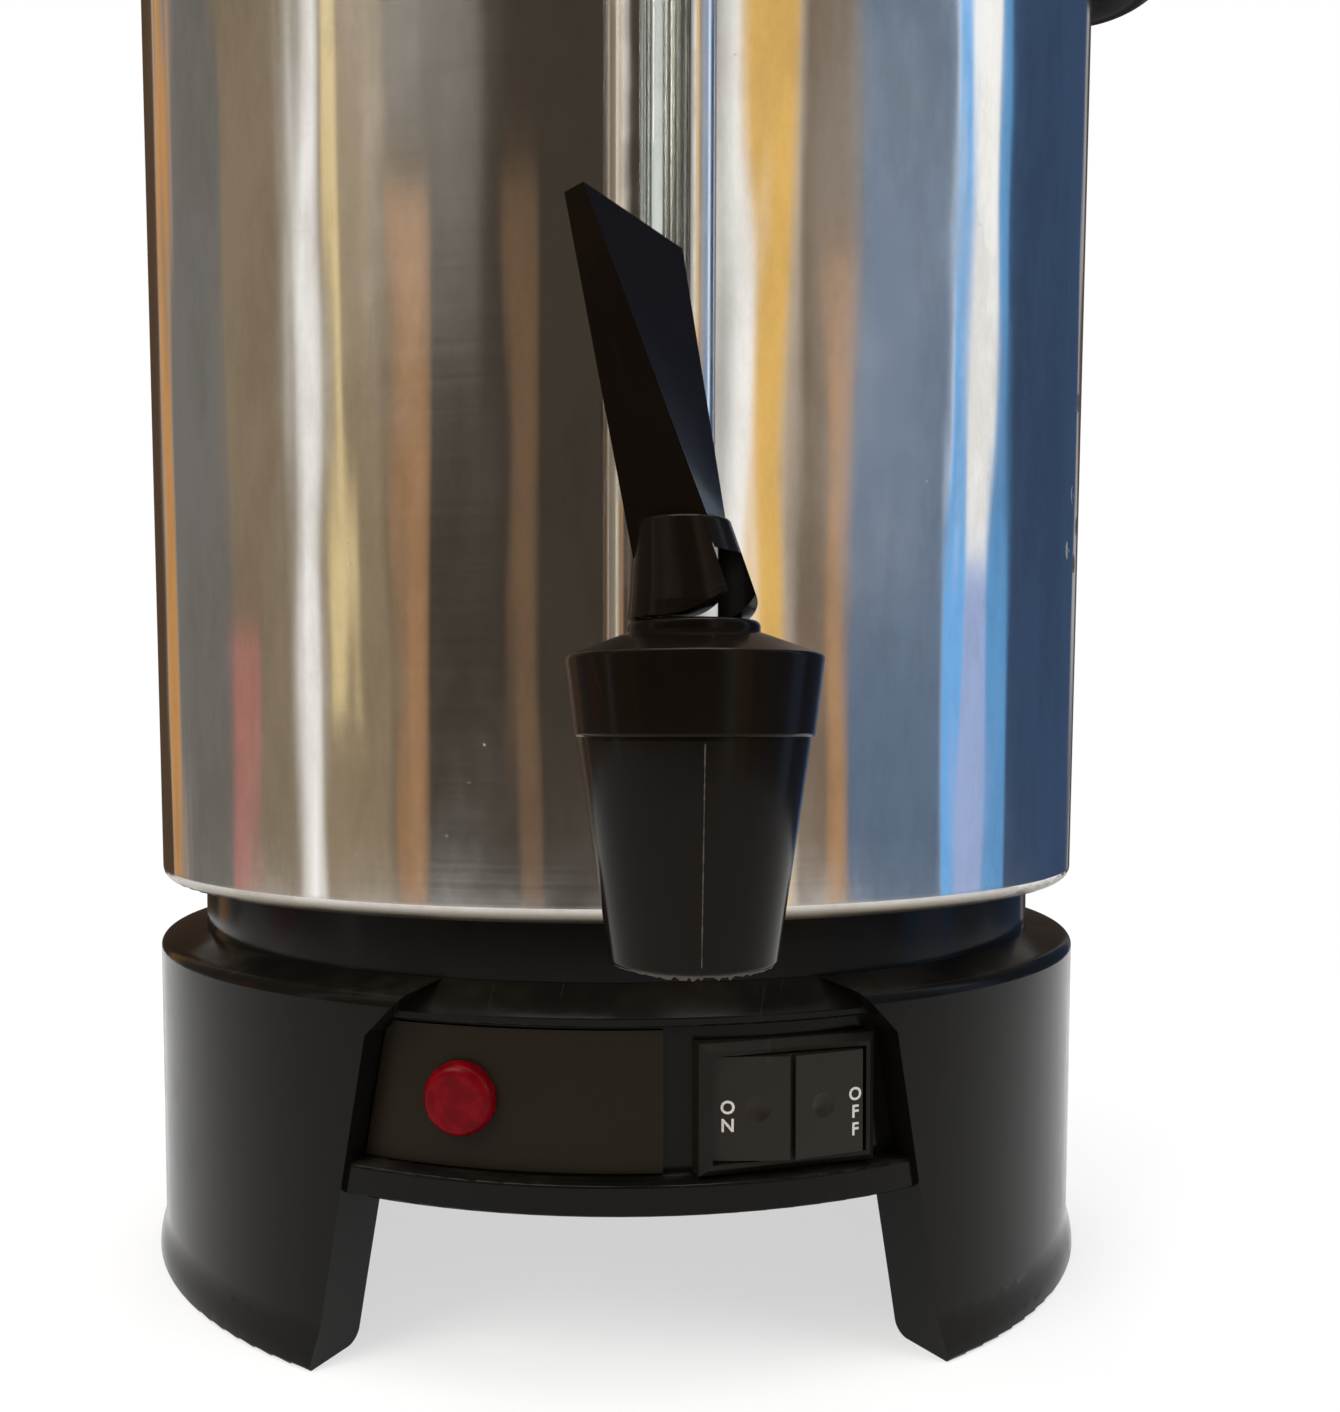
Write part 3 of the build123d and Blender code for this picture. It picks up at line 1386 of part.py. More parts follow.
# ---- Every piece under its own name ---------------------------------------------------------

pieces = {
    "urn_body": urn_body(),
    "heater_well": heater_well(),
    "well_gasket": well_gasket(),
    "brew_element": brew_element(),
    "element_clamp": element_clamp(),
    "clamp_nut": clamp_nut(),
    "thermostat": thermostat(),
    "thermal_fuse": thermal_fuse(),
    "base_studs": base_studs(),
    "base_nuts": base_nuts(),
    "heat_ring": heat_ring(),
    "base_skirt": base_skirt(),
    "bottom_cover": bottom_cover(),
    "cover_screws": cover_screws(),
    "front_plate": front_plate(),
    "indicator_lens": indicator_lens(),
    "indicator_lamp": indicator_lamp(),
    "lens_retainer": lens_retainer(),
    "switch_housing": switch_housing(),
    "rocker": rocker(),
    "rocker_pin": rocker_pin(),
    "switch_terminals": switch_terminals(),
    "appliance_inlet": appliance_inlet(),
    "inlet_pins": inlet_pins(),
    "inlet_screws": inlet_screws(),
    "faucet_body": faucet_body(),
    "faucet_bonnet": faucet_bonnet(),
    "stem_guide": stem_guide(),
    "valve_stem": valve_stem(),
    "seat_cup": seat_cup(),
    "stem_spring": stem_spring(),
    "lever_pin": lever_pin(),
    "lever": lever(),
    "faucet_shank": faucet_shank(),
    "shank_washers": shank_washers(),
    "shank_nut": shank_nut(),
    "gauge_glass": gauge_glass(),
    "gauge_shield": gauge_shield(),
    "gauge_cap": gauge_cap(),
    "gauge_seals": gauge_seals(),
    "gauge_screw": gauge_screw(),
    "handle_left": handle(-1),
    "handle_right": handle(1),
    "handle_brackets": handle_brackets(),
    "handle_screws": handle_screws(),
    "lid": lid(),
    "lid_knob": lid_knob(),
    "lid_washer": lid_washer(),
    "lid_knob_screw": lid_knob_screw(),
    "basket": basket(),
    "basket_cover": basket_cover(),
    "pump_stem": pump_stem(),
    "pump_foot": pump_foot(),
    "pump_washer": pump_washer(),
}

os.makedirs("parts", exist_ok=True)
for name, piece in pieces.items():
    solids = piece if isinstance(piece, list) else [piece]
    solids = [solid for item in solids for solid in item.solids()]
    export_step(Compound(children=solids) if len(solids) > 1 else solids[0], f"parts/{name}.step")
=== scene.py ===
# %% [markdown]
# # Dressing a coffee urn
#
# This urn is a polished aluminium pot on a black moulded base, with a self-closing tap and a
# sight gauge at the front. The construction model already holds every piece at its real size.
# Here each piece gets its finish, a few thin details are added, and the studio is set up.
# Blender could also move and scale things, but the frame has to stay exact, so nothing that
# comes from it is touched except its materials.

# %% Load the frame
import json
import math
import random
import bpy
from mathutils import Matrix, Vector


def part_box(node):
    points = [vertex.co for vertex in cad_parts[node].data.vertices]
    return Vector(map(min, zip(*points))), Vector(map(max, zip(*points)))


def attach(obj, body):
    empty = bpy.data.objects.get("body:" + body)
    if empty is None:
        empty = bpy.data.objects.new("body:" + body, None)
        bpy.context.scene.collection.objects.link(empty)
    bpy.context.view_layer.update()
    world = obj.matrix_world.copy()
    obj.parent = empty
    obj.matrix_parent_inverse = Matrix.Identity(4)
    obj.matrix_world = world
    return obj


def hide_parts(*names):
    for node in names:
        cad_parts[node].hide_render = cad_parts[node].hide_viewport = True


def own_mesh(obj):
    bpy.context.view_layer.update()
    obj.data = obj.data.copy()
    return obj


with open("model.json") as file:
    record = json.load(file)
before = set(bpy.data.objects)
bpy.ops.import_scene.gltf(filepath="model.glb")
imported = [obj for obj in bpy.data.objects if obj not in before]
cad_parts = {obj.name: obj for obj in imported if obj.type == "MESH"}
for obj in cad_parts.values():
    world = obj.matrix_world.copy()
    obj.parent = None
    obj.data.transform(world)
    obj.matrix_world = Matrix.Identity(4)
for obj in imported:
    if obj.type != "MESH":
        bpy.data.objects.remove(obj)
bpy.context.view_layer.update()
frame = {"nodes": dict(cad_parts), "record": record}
nodes = frame["nodes"]
slot_of = {part["node"]: part["material_slot"] for part in frame["record"]["subparts"]}
mm = 0.001

# %% [markdown]
# ## The camera
#
# The urn is seen from close to the tap, with strong perspective. The lens and the distance
# have to agree, because a longer lens from further away would show less of the rims' curves.
# The urn isn't in the middle of the frame. Tilting the camera that far would make upright lines
# lean, so it looks down by only about a degree, and the lens shift moves the frame.

# %% Camera
lens_mm = 32.43
sensor_mm = 36.0
shift_right = 0.038
shift_up = 0.037
nearest_seen = 10 * mm
camera_reach = 345.3 * mm
camera_height = 124.4 * mm
camera_azimuth = math.radians(-1.7)
camera_pitch = math.radians(1.2)

camera_data = bpy.data.cameras.new("camera")
camera_data.lens = lens_mm
camera_data.sensor_width = sensor_mm
camera_data.shift_x = shift_right
camera_data.shift_y = shift_up
camera_data.clip_start = nearest_seen
camera = bpy.data.objects.new("camera", camera_data)
bpy.context.collection.objects.link(camera)
camera.location = (camera_reach * math.sin(camera_azimuth), -camera_reach * math.cos(camera_azimuth),
                   camera_height)
camera.rotation_euler = (math.pi / 2 - camera_pitch, 0, camera_azimuth)
bpy.context.scene.camera = camera
print("camera at", [round(value, 4) for value in camera.location])

# %% [markdown]
# ## Writing shader sums as sentences
#
# A finish is a small calculation: some noise, times a strength, plus a base value. In the node
# editor that takes many boxes. The two classes below let Python write it as plain arithmetic
# instead. Wire stands for one socket and knows how to be added and multiplied, also when the
# number comes first. Finish is one material, and its node method makes every other node. The
# world is shaded by nodes too, so it can take a material's place there.

# %% Wire and Finish
class Wire:
    """One socket of a material, which can take part in sums."""

    def __init__(self, finish, socket):
        self.finish = finish
        self.socket = socket

    def sum(self, operation, first, second):
        return self.finish.node("Math", {"operation": operation}, {0: first, 1: second})

    def __add__(self, other):
        return self.sum("ADD", self, other)

    def __radd__(self, other):
        return self.sum("ADD", other, self)

    def __sub__(self, other):
        return self.sum("SUBTRACT", self, other)

    def __rsub__(self, other):
        return self.sum("SUBTRACT", other, self)

    def __mul__(self, other):
        return self.sum("MULTIPLY", self, other)

    def __rmul__(self, other):
        return self.sum("MULTIPLY", other, self)


class Finish:
    """One material. Its node method adds any node, with settings first and sockets after."""

    def __init__(self, name, kind=bpy.data.materials):
        self.material = kind.new(name)
        self.material.use_nodes = True
        self.tree = self.material.node_tree
        self.tree.nodes.clear()

    def node(self, kind, settings=None, sockets=None, output=0):
        made = self.tree.nodes.new("ShaderNode" + kind)
        for name, value in (settings or {}).items():
            setattr(made, name, value)
        for name, value in (sockets or {}).items():
            socket = made.inputs[name]
            if isinstance(value, Wire):
                self.tree.links.new(value.socket, socket)
            else:
                socket.default_value = (*value, 1.0) if socket.type == "RGBA" else value
        return Wire(self, made.outputs[output]) if made.outputs else None

    def place(self):
        """The point on the piece, in metres, which stays with it when it moves."""
        return self.node("TexCoord", output="Object")

    def stretch(self, x, y, z):
        """The same point with each direction scaled, to draw noise out into lines."""
        return self.node("VectorMath", {"operation": "MULTIPLY"}, {0: self.place(), 1: (x, y, z)})

    def noise(self, where, scale, detail=3.0, roughness=0.55):
        return self.node("TexNoise", {}, {"Vector": where, "Scale": scale, "Detail": detail,
                                          "Roughness": roughness}, "Fac")

    def ease(self, value, low, high):
        """0 below low, 1 above high and a soft step between them."""
        return self.node("MapRange", {"interpolation_type": "SMOOTHSTEP"},
                         {"Value": value, "From Min": low, "From Max": high}, "Result")

    def tint(self, mask, under, over):
        """One colour over another, by a mask."""
        return self.node("Mix", {"data_type": "RGBA"}, {0: mask, 6: under, 7: over}, 2)

    def bump(self, height, depth, strength=1.0, under=None):
        """A normal from a height, for relief of that depth in metres, over another normal."""
        sockets = {"Height": height, "Distance": depth, "Strength": strength}
        if under is not None:
            sockets["Normal"] = under
        return self.node("Bump", {}, sockets)

    def coat_with(self, **sockets):
        """Closes the material with a Principled shader."""
        named = {name.replace("_", " "): value for name, value in sockets.items()}
        shader = self.node("BsdfPrincipled", {}, named)
        self.node("OutputMaterial", {}, {"Surface": shader})
        return self.material


finishes = {}

# %% [markdown]
# ## Polished aluminium
#
# The pot was spun on a lathe and buffed. Spinning leaves hair-fine rings that run round the
# wall, and they smear every reflection up and down into tall streaks. Real rings could be
# modelled, but there are thousands of them, so noise that is squeezed in height and drawn out
# sideways makes them in the shader. Anisotropy does the smearing, turned by a quarter so that
# it runs along the axis. The buffing wheel's passes leave broad upright waves, and years of use
# add a thin film, dull patches, limescale dots and small dents. A darker, duller band at the
# foot is painted shade, which tones down the pale floor's reflection in the bottom rim.

# %% Vessel finish
def dent(finish, azimuth, height, size, reach=117.5 * mm):
    """A soft pit in the wall, 1 in its middle."""
    angle = math.radians(azimuth)
    centre = (reach * math.sin(angle), -reach * math.cos(angle), height)
    away = finish.node("VectorMath", {"operation": "DISTANCE"}, {0: finish.place(), 1: centre}, "Value")
    return 1 - finish.ease(away, 0.0, size)


ring_depth = 0.012 * mm
sway_depth = 1.5 * mm
dent_depth = 0.7 * mm
large_dent = 2.6 * mm
small_dent = 2.4 * mm
clean_metal = (0.90, 0.88, 0.84)
limescale = (0.66, 0.64, 0.60)
film_colour = (0.38, 0.34, 0.27)
# The colour of the painted shade at the pot's foot, and how high and soft its band is.
foot_shade_colour = (0.20, 0.17, 0.13)
foot_shade_band = 4 * mm
foot_shade_blend = 3 * mm

vessel = Finish("polished_aluminium")
rings = vessel.noise(vessel.stretch(5, 5, 1500), 1.0, 5.0, 0.7)
coarse_rings = vessel.noise(vessel.stretch(3, 3, 260), 1.0, 2.0)
sway = vessel.noise(vessel.stretch(1, 1, 0.20), 26, 2.0)
passes = vessel.noise(vessel.stretch(1, 1, 0.05), 75, 2.0, 0.45)
haze = vessel.noise(vessel.stretch(1, 1, 0.5), 22, 6.0, 0.65)
dots = vessel.noise(vessel.place(), 420, 2.0)
scale_dots = vessel.ease(dots, 0.73, 0.78) * vessel.ease(haze, 0.45, 0.62)
knocks = dent(vessel, 63, 0.200, large_dent)
for azimuth, height in ((60, 0.178), (64, 0.172), (58, 0.165), (62, 0.163), (66, 0.167)):
    knocks = knocks + dent(vessel, azimuth, height, small_dent)
relief = rings * 0.35 + coarse_rings * 0.25 + scale_dots * 0.5
ring_normal = vessel.bump(relief, ring_depth, 0.55)
sway_normal = vessel.bump(sway + passes * 0.20, sway_depth, under=ring_normal)
dent_normal = vessel.bump(1 - knocks, dent_depth, under=sway_normal)
film = vessel.ease(vessel.noise(vessel.stretch(1, 1, 0.35), 40, 8.0, 0.75), 0.40, 0.66)
# Painted shade: in a band at the foot the metal's colour goes darker and duller, to tone down the floor's
# reflection in the bottom rim.
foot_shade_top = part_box("urn_body")[0][2] + foot_shade_band
height_up = vessel.node("SeparateXYZ", {}, {0: vessel.place()}, "Z")
foot_shade_mask = 1 - vessel.ease(height_up, foot_shade_top - foot_shade_blend, foot_shade_top)
scaled = scale_dots * 0.6 + vessel.ease(haze, 0.5, 0.8) * 0.25
body_colour = vessel.tint(scaled, clean_metal, limescale)
filmed_colour = vessel.tint(film * 0.30, body_colour, film_colour)
dulled = vessel.ease(haze, 0.45, 0.8)
finishes["vessel_aluminium"] = vessel.coat_with(
    Base_Color=vessel.tint(foot_shade_mask, filmed_colour, foot_shade_colour),
    Roughness=0.07 + rings * 0.05 + dulled * 0.09 + scale_dots * 0.15 + foot_shade_mask * 0.2,
    Metallic=1.0, Anisotropic=0.8, Anisotropic_Rotation=0.25, Normal=dent_normal)
# The band of painted shade at the foot reaches up to this height.
print("the pot's worn edge reaches up to", round(foot_shade_top, 4))

# %% [markdown]
# ## Plain metals
#
# The basket, the well and the riser tube are softer, satin metal. The screws, springs and
# brackets are plated steel with a faint mottled bloom, and the heater's sheath has gone straw
# brown with heat. They share one recipe, a function, because they differ only in colour,
# grain and shine.

# %% Metal recipe
def metal(slot, colour, worn, shine, grain=(60, 60, 900), depth=0.01 * mm):
    finish = Finish(slot.replace("_", " "))
    lines = finish.noise(finish.stretch(*grain), 1.0, 4.0, 0.6)
    bloom = finish.noise(finish.place(), 90, 5.0, 0.6)
    spots = finish.ease(finish.noise(finish.place(), 700, 2.0), 0.66, 0.74)
    finishes[slot] = finish.coat_with(
        Base_Color=finish.tint(finish.ease(bloom, 0.35, 0.75) * 0.7 + spots * 0.3, colour, worn),
        Metallic=1.0, Roughness=shine + lines * 0.12 + finish.ease(bloom, 0.4, 0.8) * 0.12,
        Normal=finish.bump(lines + spots * 0.5, depth, 0.6))


metal("spun_aluminium", (0.74, 0.73, 0.71), (0.60, 0.58, 0.55), 0.26)
metal("tube_aluminium", (0.76, 0.75, 0.73), (0.62, 0.60, 0.58), 0.24, (900, 900, 20))
metal("plated_steel", (0.66, 0.65, 0.62), (0.50, 0.48, 0.44), 0.28, (300, 300, 300))
metal("heater_sheath", (0.46, 0.40, 0.33), (0.30, 0.22, 0.17), 0.36, (200, 200, 200))
metal("bright_plating", (0.82, 0.81, 0.79), (0.66, 0.64, 0.60), 0.10, (500, 500, 18), 0.006 * mm)
metal("terminal_brass", (0.78, 0.66, 0.40), (0.55, 0.42, 0.24), 0.30, (250, 250, 250))
print(len(finishes), "finishes so far")

# %% [markdown]
# ## Moulded black plastics
#
# The base, the tap and the handles are moulded in a hard, glossy black. Nothing black is one
# flat colour: the gloss waves where the moulding shrank, hands leave dull smears, dust settles
# on what faces up, and fine hairline scratches catch the light. A lower specular level keeps
# the pale floor from greying them. The recipe takes the amount of each as a value, so that the
# satin switch and the shiny tap come from the same few lines. The white stem and the silicone
# seals use it too.

# %% Plastic recipe
wave_depth = 0.30 * mm


def upward(finish):
    """1 where the surface faces up, 0 on upright and lower faces."""
    normal = finish.node("NewGeometry", output="Normal")
    height = finish.node("SeparateXYZ", {}, {0: normal}, "Z")
    return finish.ease(height, 0.35, 0.95)


def hairlines(finish, turn, scale=260):
    """Fine scratches that run one way: noise drawn out along a turned direction."""
    turned = finish.node("VectorRotate", {"rotation_type": "AXIS_ANGLE"},
                         {"Vector": finish.place(), "Axis": (0.3, 1.0, 0.2), "Angle": turn})
    drawn = finish.node("VectorMath", {"operation": "MULTIPLY"}, {0: turned, 1: (12, 12, scale * 6)})
    patch = finish.ease(finish.noise(turned, 38, 2.0), 0.52, 0.66)
    return finish.ease(finish.noise(drawn, 1.0, 2.0), 0.665, 0.70) * patch


def plastic(slot, colour, worn, shine, dull=0.12, dust=0.25, marks=0.2, grain=0.0, coat=0.0,
            gloss=0.09):
    finish = Finish(slot.replace("_", " "))
    smear = finish.noise(finish.place(), 46, 5.0, 0.6)
    wave = finish.noise(finish.place(), 30, 1.0)
    skin = finish.noise(finish.place(), 2600, 2.0)
    specks = finish.ease(finish.noise(finish.place(), 900, 3.0, 0.6), 0.68, 0.78)
    settled = upward(finish) * finish.ease(smear, 0.3, 0.7) * dust
    scratches = (hairlines(finish, 0.5) + hairlines(finish, 1.9)) * marks
    dirt = settled + specks * dust * 0.35 + scratches
    finishes[slot] = finish.coat_with(
        Base_Color=finish.tint(finish.ease(dirt, 0.0, 1.6), colour, worn),
        Roughness=shine + finish.ease(smear, 0.4, 0.75) * dull + settled * 0.25 + scratches * 0.2,
        Normal=finish.bump(wave + skin * grain + scratches * 0.02, wave_depth, 0.35),
        IOR=1.52, Specular_IOR_Level=gloss, Coat_Weight=coat, Coat_Roughness=0.06)


plastic("base_black", (0.004, 0.0034, 0.0026), (0.16, 0.13, 0.10), 0.12, dust=0.28)
plastic("tap_black", (0.004, 0.0026, 0.0016), (0.14, 0.12, 0.09), 0.13, dust=0.10, marks=0.15)
plastic("handle_black", (0.013, 0.012, 0.012), (0.14, 0.13, 0.11), 0.16, dust=0.12, marks=0.15)
plastic("switch_black", (0.008, 0.0065, 0.0045), (0.16, 0.14, 0.12), 0.34, dust=0.2, grain=0.012)
plastic("rocker_black", (0.011, 0.0085, 0.0055), (0.20, 0.18, 0.15), 0.30, dust=0.2, grain=0.02,
        gloss=0.16)
plastic("plate_olive", (0.010, 0.0065, 0.0030), (0.10, 0.09, 0.07), 0.32, dust=0.15, marks=0.15,
        grain=0.006)
plastic("cover_steel", (0.03, 0.03, 0.03), (0.16, 0.14, 0.12), 0.42, grain=0.02)
plastic("stem_white", (0.80, 0.79, 0.75), (0.52, 0.47, 0.40), 0.34, dust=0.5, coat=0.1, gloss=0.5)
plastic("silicone", (0.46, 0.43, 0.40), (0.30, 0.27, 0.24), 0.55, grain=0.01, gloss=0.5)
print(len(finishes), "finishes so far")

# %% [markdown]
# ## Lens, lamp and gauge glass
#
# The pilot lens is a dome of deep red plastic. It is almost opaque from the front, and its
# moulded inside shows as a faint mottle, so a varied red with a little light under the skin
# gives the look without the cost of real depth. The glass tube and the neon lamp are clear,
# and transmission is the honest way to show them.

# %% Clear and coloured pieces
lens = Finish("red lens")
mottle = lens.noise(lens.place(), 260, 3.0, 0.6)
facets = lens.node("TexVoronoi", {"feature": "F1"}, {"Vector": lens.place(), "Scale": 620}, "Distance")
finishes["lens_red"] = lens.coat_with(
    Base_Color=lens.tint(lens.ease(mottle, 0.3, 0.7), (0.075, 0.0004, 0.002), (0.125, 0.0008, 0.003)),
    Roughness=0.22 + mottle * 0.1, Normal=lens.bump(facets, 0.08 * mm, 0.2),
    Subsurface_Weight=0.25, Subsurface_Radius=(0.004, 0.0008, 0.0006), Subsurface_Scale=0.4,
    Specular_IOR_Level=0.06, IOR=1.5)


def glass(slot, colour, ior):
    finish = Finish(slot.replace("_", " "))
    film = finish.noise(finish.stretch(1, 1, 0.1), 300, 4.0)
    finishes[slot] = finish.coat_with(
        Base_Color=finish.tint(film, colour, tuple(value * 0.96 for value in colour)),
        Roughness=0.02 + finish.ease(film, 0.5, 0.8) * 0.1, Transmission_Weight=1.0, IOR=ior)


glass("gauge_glass", (0.95, 0.97, 0.96), 1.47)
glass("neon_glass", (0.95, 0.88, 0.80), 1.50)
print(len(finishes), "finishes so far")

# %% [markdown]
# ## Dressing the pieces
#
# On the real urn each piece is made of one stuff, and the construction model says which. The
# finishes could be given out piece by piece, but a loop that follows the model can't forget one.

# %% Give every piece its finish
for name, piece in nodes.items():
    for slot in piece.material_slots:
        slot.material = finishes[slot_of[name]]
print("missing finishes:", sorted(set(slot_of.values()) - set(finishes)))

# %% [markdown]
# ## The switch's lettering
#
# The rocker says ON on one pad and OFF on the other, in small upright letters stacked one
# above another, in white ink that has greyed. A texture could hold them, but real ink has an
# edge, so each letter is a thin mesh. A ray cast onto the rocker finds the pad's surface and its
# slope, so the letters lie on it wherever the pad is, and they ride on the rocker's own body.

# %% Ink
ink = Finish("white ink")
wear = ink.noise(ink.place(), 2400, 4.0, 0.7)
ink_finish = ink.coat_with(
    Base_Color=ink.tint(ink.ease(wear, 0.45, 0.8), (0.46, 0.44, 0.40), (0.20, 0.19, 0.17)),
    Roughness=0.5 + wear * 0.2, Normal=ink.bump(wear, 0.02 * mm, 0.5))

letter_height = 2.45 * mm
capital_share = 0.72         # a capital's height, as a share of the font's size
letter_gap = 0.90 * mm
stroke_swell = 0.07 * mm
ink_thickness = 0.04 * mm
ray_reach = 130 * mm         # rays start this far from the urn's axis, clear of the rocker
switch_azimuth = math.radians(15.1)
across = Vector((math.cos(switch_azimuth), math.sin(switch_azimuth), 0))
outward = Vector((math.sin(switch_azimuth), -math.cos(switch_azimuth), 0))
rocker_low, rocker_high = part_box("rocker")
switch_centre_z = (rocker_low[2] + rocker_high[2]) / 2


def stuck_on(piece, point, direction):
    """Where a ray meets a CAD piece, and the surface's normal there."""
    hit, place, normal, _ = piece.ray_cast(point, direction)
    assert hit, "the ray misses " + piece.name
    return place, normal


def letter(name, character, x, z):
    """One printed letter on the rocker, x along the pads and z up."""
    curve = bpy.data.curves.new(name, "FONT")
    curve.body = character
    curve.align_x = "CENTER"
    curve.align_y = "CENTER"
    curve.size = letter_height / capital_share
    curve.offset = stroke_swell
    curve.extrude = ink_thickness
    curve.resolution_u = 6
    shape = bpy.data.objects.new(name + "_outline", curve)
    mesh = bpy.data.meshes.new_from_object(shape)
    bpy.data.objects.remove(shape)
    piece = bpy.data.objects.new(name, mesh)
    bpy.context.collection.objects.link(piece)
    start = outward * ray_reach + across * x + Vector((0, 0, z))
    place, normal = stuck_on(nodes["rocker"], start, -outward)
    side = Vector((0, 0, 1)).cross(normal).normalized()
    turn = Matrix((side, normal.cross(side), normal)).transposed().to_4x4()
    piece.matrix_world = Matrix.Translation(place) @ turn
    mesh.materials.append(ink_finish)
    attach(piece, "switch_rocker")


def stacked(word, x, drop):
    """A word with its letters one above another."""
    pitch = letter_height + letter_gap
    top = switch_centre_z - drop + pitch * (len(word) - 1) / 2
    for place, character in enumerate(word):
        letter(f"ink_{word.lower()}_{place}", character, x, top - place * pitch)


stacked("ON", -12.4 * mm, 1.5 * mm)
stacked("OFF", 12.7 * mm, 2.1 * mm)
print("letters", round(letter_height / mm, 2), "mm high on the rocker")

# %% [markdown]
# ## The spout's moulding line
#
# The spout was moulded in two halves. Where the halves of the mould met, a hair-fine ridge runs
# down its front, and at the outlet a little plastic squeezed out and was never trimmed. A bump
# in the shader could hint at both, but they break the outline, so they are thin closed meshes.
# Rays find the spout's wall for the ridge, and a seeded random draw makes the rim ragged.

# %% Ridge and flash
plastic("mould_flash", (0.060, 0.050, 0.042), (0.20, 0.17, 0.14), 0.45, dust=0.4, grain=0.02)
bonnet_low, bonnet_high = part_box("faucet_bonnet")
tap_axis = Vector(((bonnet_low[0] + bonnet_high[0]) / 2, (bonnet_low[1] + bonnet_high[1]) / 2, 0))
tip_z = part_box("faucet_body")[0][2]
joint_z = bonnet_low[2]
ragged_seed = 7
draw = random.Random(ragged_seed)


def away_from_tap(bearing):
    """The level direction at a bearing in degrees, where 0 is the urn's front."""
    angle = math.radians(bearing)
    return Vector((math.sin(angle), -math.cos(angle), 0))


def bead(name, rows, body, finish="mould_flash", closed=False):
    """A thin solid bead: each row holds the corners of one cross-section. Closed makes a ring."""
    sides = len(rows[0])
    corners = [corner for row in rows for corner in row]
    count = len(rows)
    faces = []
    for row in range(count if closed else count - 1):
        after = (row + 1) % count
        for side in range(sides):
            beside = (side + 1) % sides
            faces.append((row * sides + side, row * sides + beside,
                          after * sides + beside, after * sides + side))
    if not closed:
        faces.append(tuple(reversed(range(sides))))
        faces.append(tuple((count - 1) * sides + side for side in range(sides)))
    mesh = bpy.data.meshes.new(name)
    mesh.from_pydata([tuple(corner) for corner in corners], [], faces)
    mesh.update()
    mesh.materials.append(finishes[finish])
    piece = bpy.data.objects.new(name, mesh)
    bpy.context.collection.objects.link(piece)
    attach(piece, body)
    return piece


ridge_bearing = 0.0
ridge_out = away_from_tap(ridge_bearing)
ridge_foot_gap = 1.2 * mm
ridge_top_gap = 0.8 * mm
ridge_length = joint_z - tip_z - ridge_foot_gap - ridge_top_gap
ridge_root = 0.1 * mm        # how deep its back edge sits in the wall
ridge_steps = 60
clear_of_spout = 60 * mm
ridge_rows = []
for step in range(ridge_steps + 1):
    z = tip_z + ridge_foot_gap + ridge_length * step / ridge_steps
    start = tap_axis + ridge_out * clear_of_spout + Vector((0, 0, z))
    place, normal = stuck_on(nodes["faucet_body"], start, -ridge_out)
    side = Vector((0, 0, 1)).cross(normal).normalized()
    half_width = draw.uniform(0.04, 0.11) * mm
    proud = draw.uniform(0.05, 0.16) * mm
    ridge_rows.append([place - side * half_width, place - normal * ridge_root,
                       place + side * half_width, place + normal * proud])
bead("spout_ridge", ridge_rows, "root")

flash_steps = 180
tip_radius = 10.9 * mm
flash_inset, flash_inset_rise = 0.35 * mm, 0.05 * mm
flash_lap, flash_lap_rise = 0.10 * mm, 0.12 * mm
ridge_narrowness = 6         # a higher power keeps the long rags nearer to the ridge
tip_centre = tap_axis + Vector((0, 0, tip_z))
flash_rows = []
for step in range(flash_steps):
    bearing = 360 * step / flash_steps
    near_ridge = max(0.0, math.cos(math.radians(bearing - ridge_bearing))) ** ridge_narrowness
    hang = (draw.uniform(0.03, 0.14) + draw.uniform(0.0, 0.75) * near_ridge) * mm
    out = away_from_tap(bearing)
    flash_rows.append([tip_centre + out * (tip_radius - flash_inset) + Vector((0, 0, flash_inset_rise)),
                       tip_centre + out * tip_radius - Vector((0, 0, hang)),
                       tip_centre + out * (tip_radius + flash_lap) + Vector((0, 0, flash_lap_rise))])
bead("spout_flash", flash_rows, "root", closed=True)
print("ridge and flash sit on the spout, tip at", round(tip_z, 4))

# %% [markdown]
# ## The spring that closes the tap
#
# Inside the bonnet a coil spring presses the stem down. When the lever lifts the stem, the real
# spring gets shorter. The construction model's spring is rigid, so the stem would pass through
# it. This coil has the same size and stands for it, and it rides on the tap's swivel. It is
# rigid too: nothing here squashes it as the stem lifts.

# %% Closing spring
spring_low, spring_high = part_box("stem_spring")
wire_radius = 0.5 * mm
coil_pitch = 3.0 * mm
coil_radius = (spring_high[0] - spring_low[0]) / 2 - wire_radius
coil_centre = tap_axis + Vector((0, 0, spring_low[2] + wire_radius))
coil_height = spring_high[2] - spring_low[2] - 2 * wire_radius
steps_per_turn = 36
wire_sides = 10
stem_travel = next(joint["range_m"][1] for joint in frame["record"]["behaviour"]["joints"]
                   if joint["name"] == "stem_lift")
coil_steps = round(coil_height / coil_pitch * steps_per_turn)
coil_rows = []
for step in range(coil_steps + 1):
    out = away_from_tap(360 * step / steps_per_turn)
    middle = coil_centre + out * coil_radius + Vector((0, 0, coil_height * step / coil_steps))
    row = []
    for side in range(wire_sides):
        angle = -2 * math.pi * side / wire_sides
        rise = Vector((0, 0, wire_radius * math.sin(angle)))
        row.append(middle + out * wire_radius * math.cos(angle) + rise)
    coil_rows.append(row)
spring = bead("closing_spring", coil_rows, "tap_swivel", finish=slot_of["stem_spring"])
for face in spring.data.polygons:
    face.use_smooth = True
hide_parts("stem_spring")
spring_length = spring_high[2] - spring_low[2]
1 - stem_travel / spring_length
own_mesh(spring)
print("spring", round(spring_length / mm, 2), "mm long, shortens by", round(stem_travel / mm, 2), "mm")

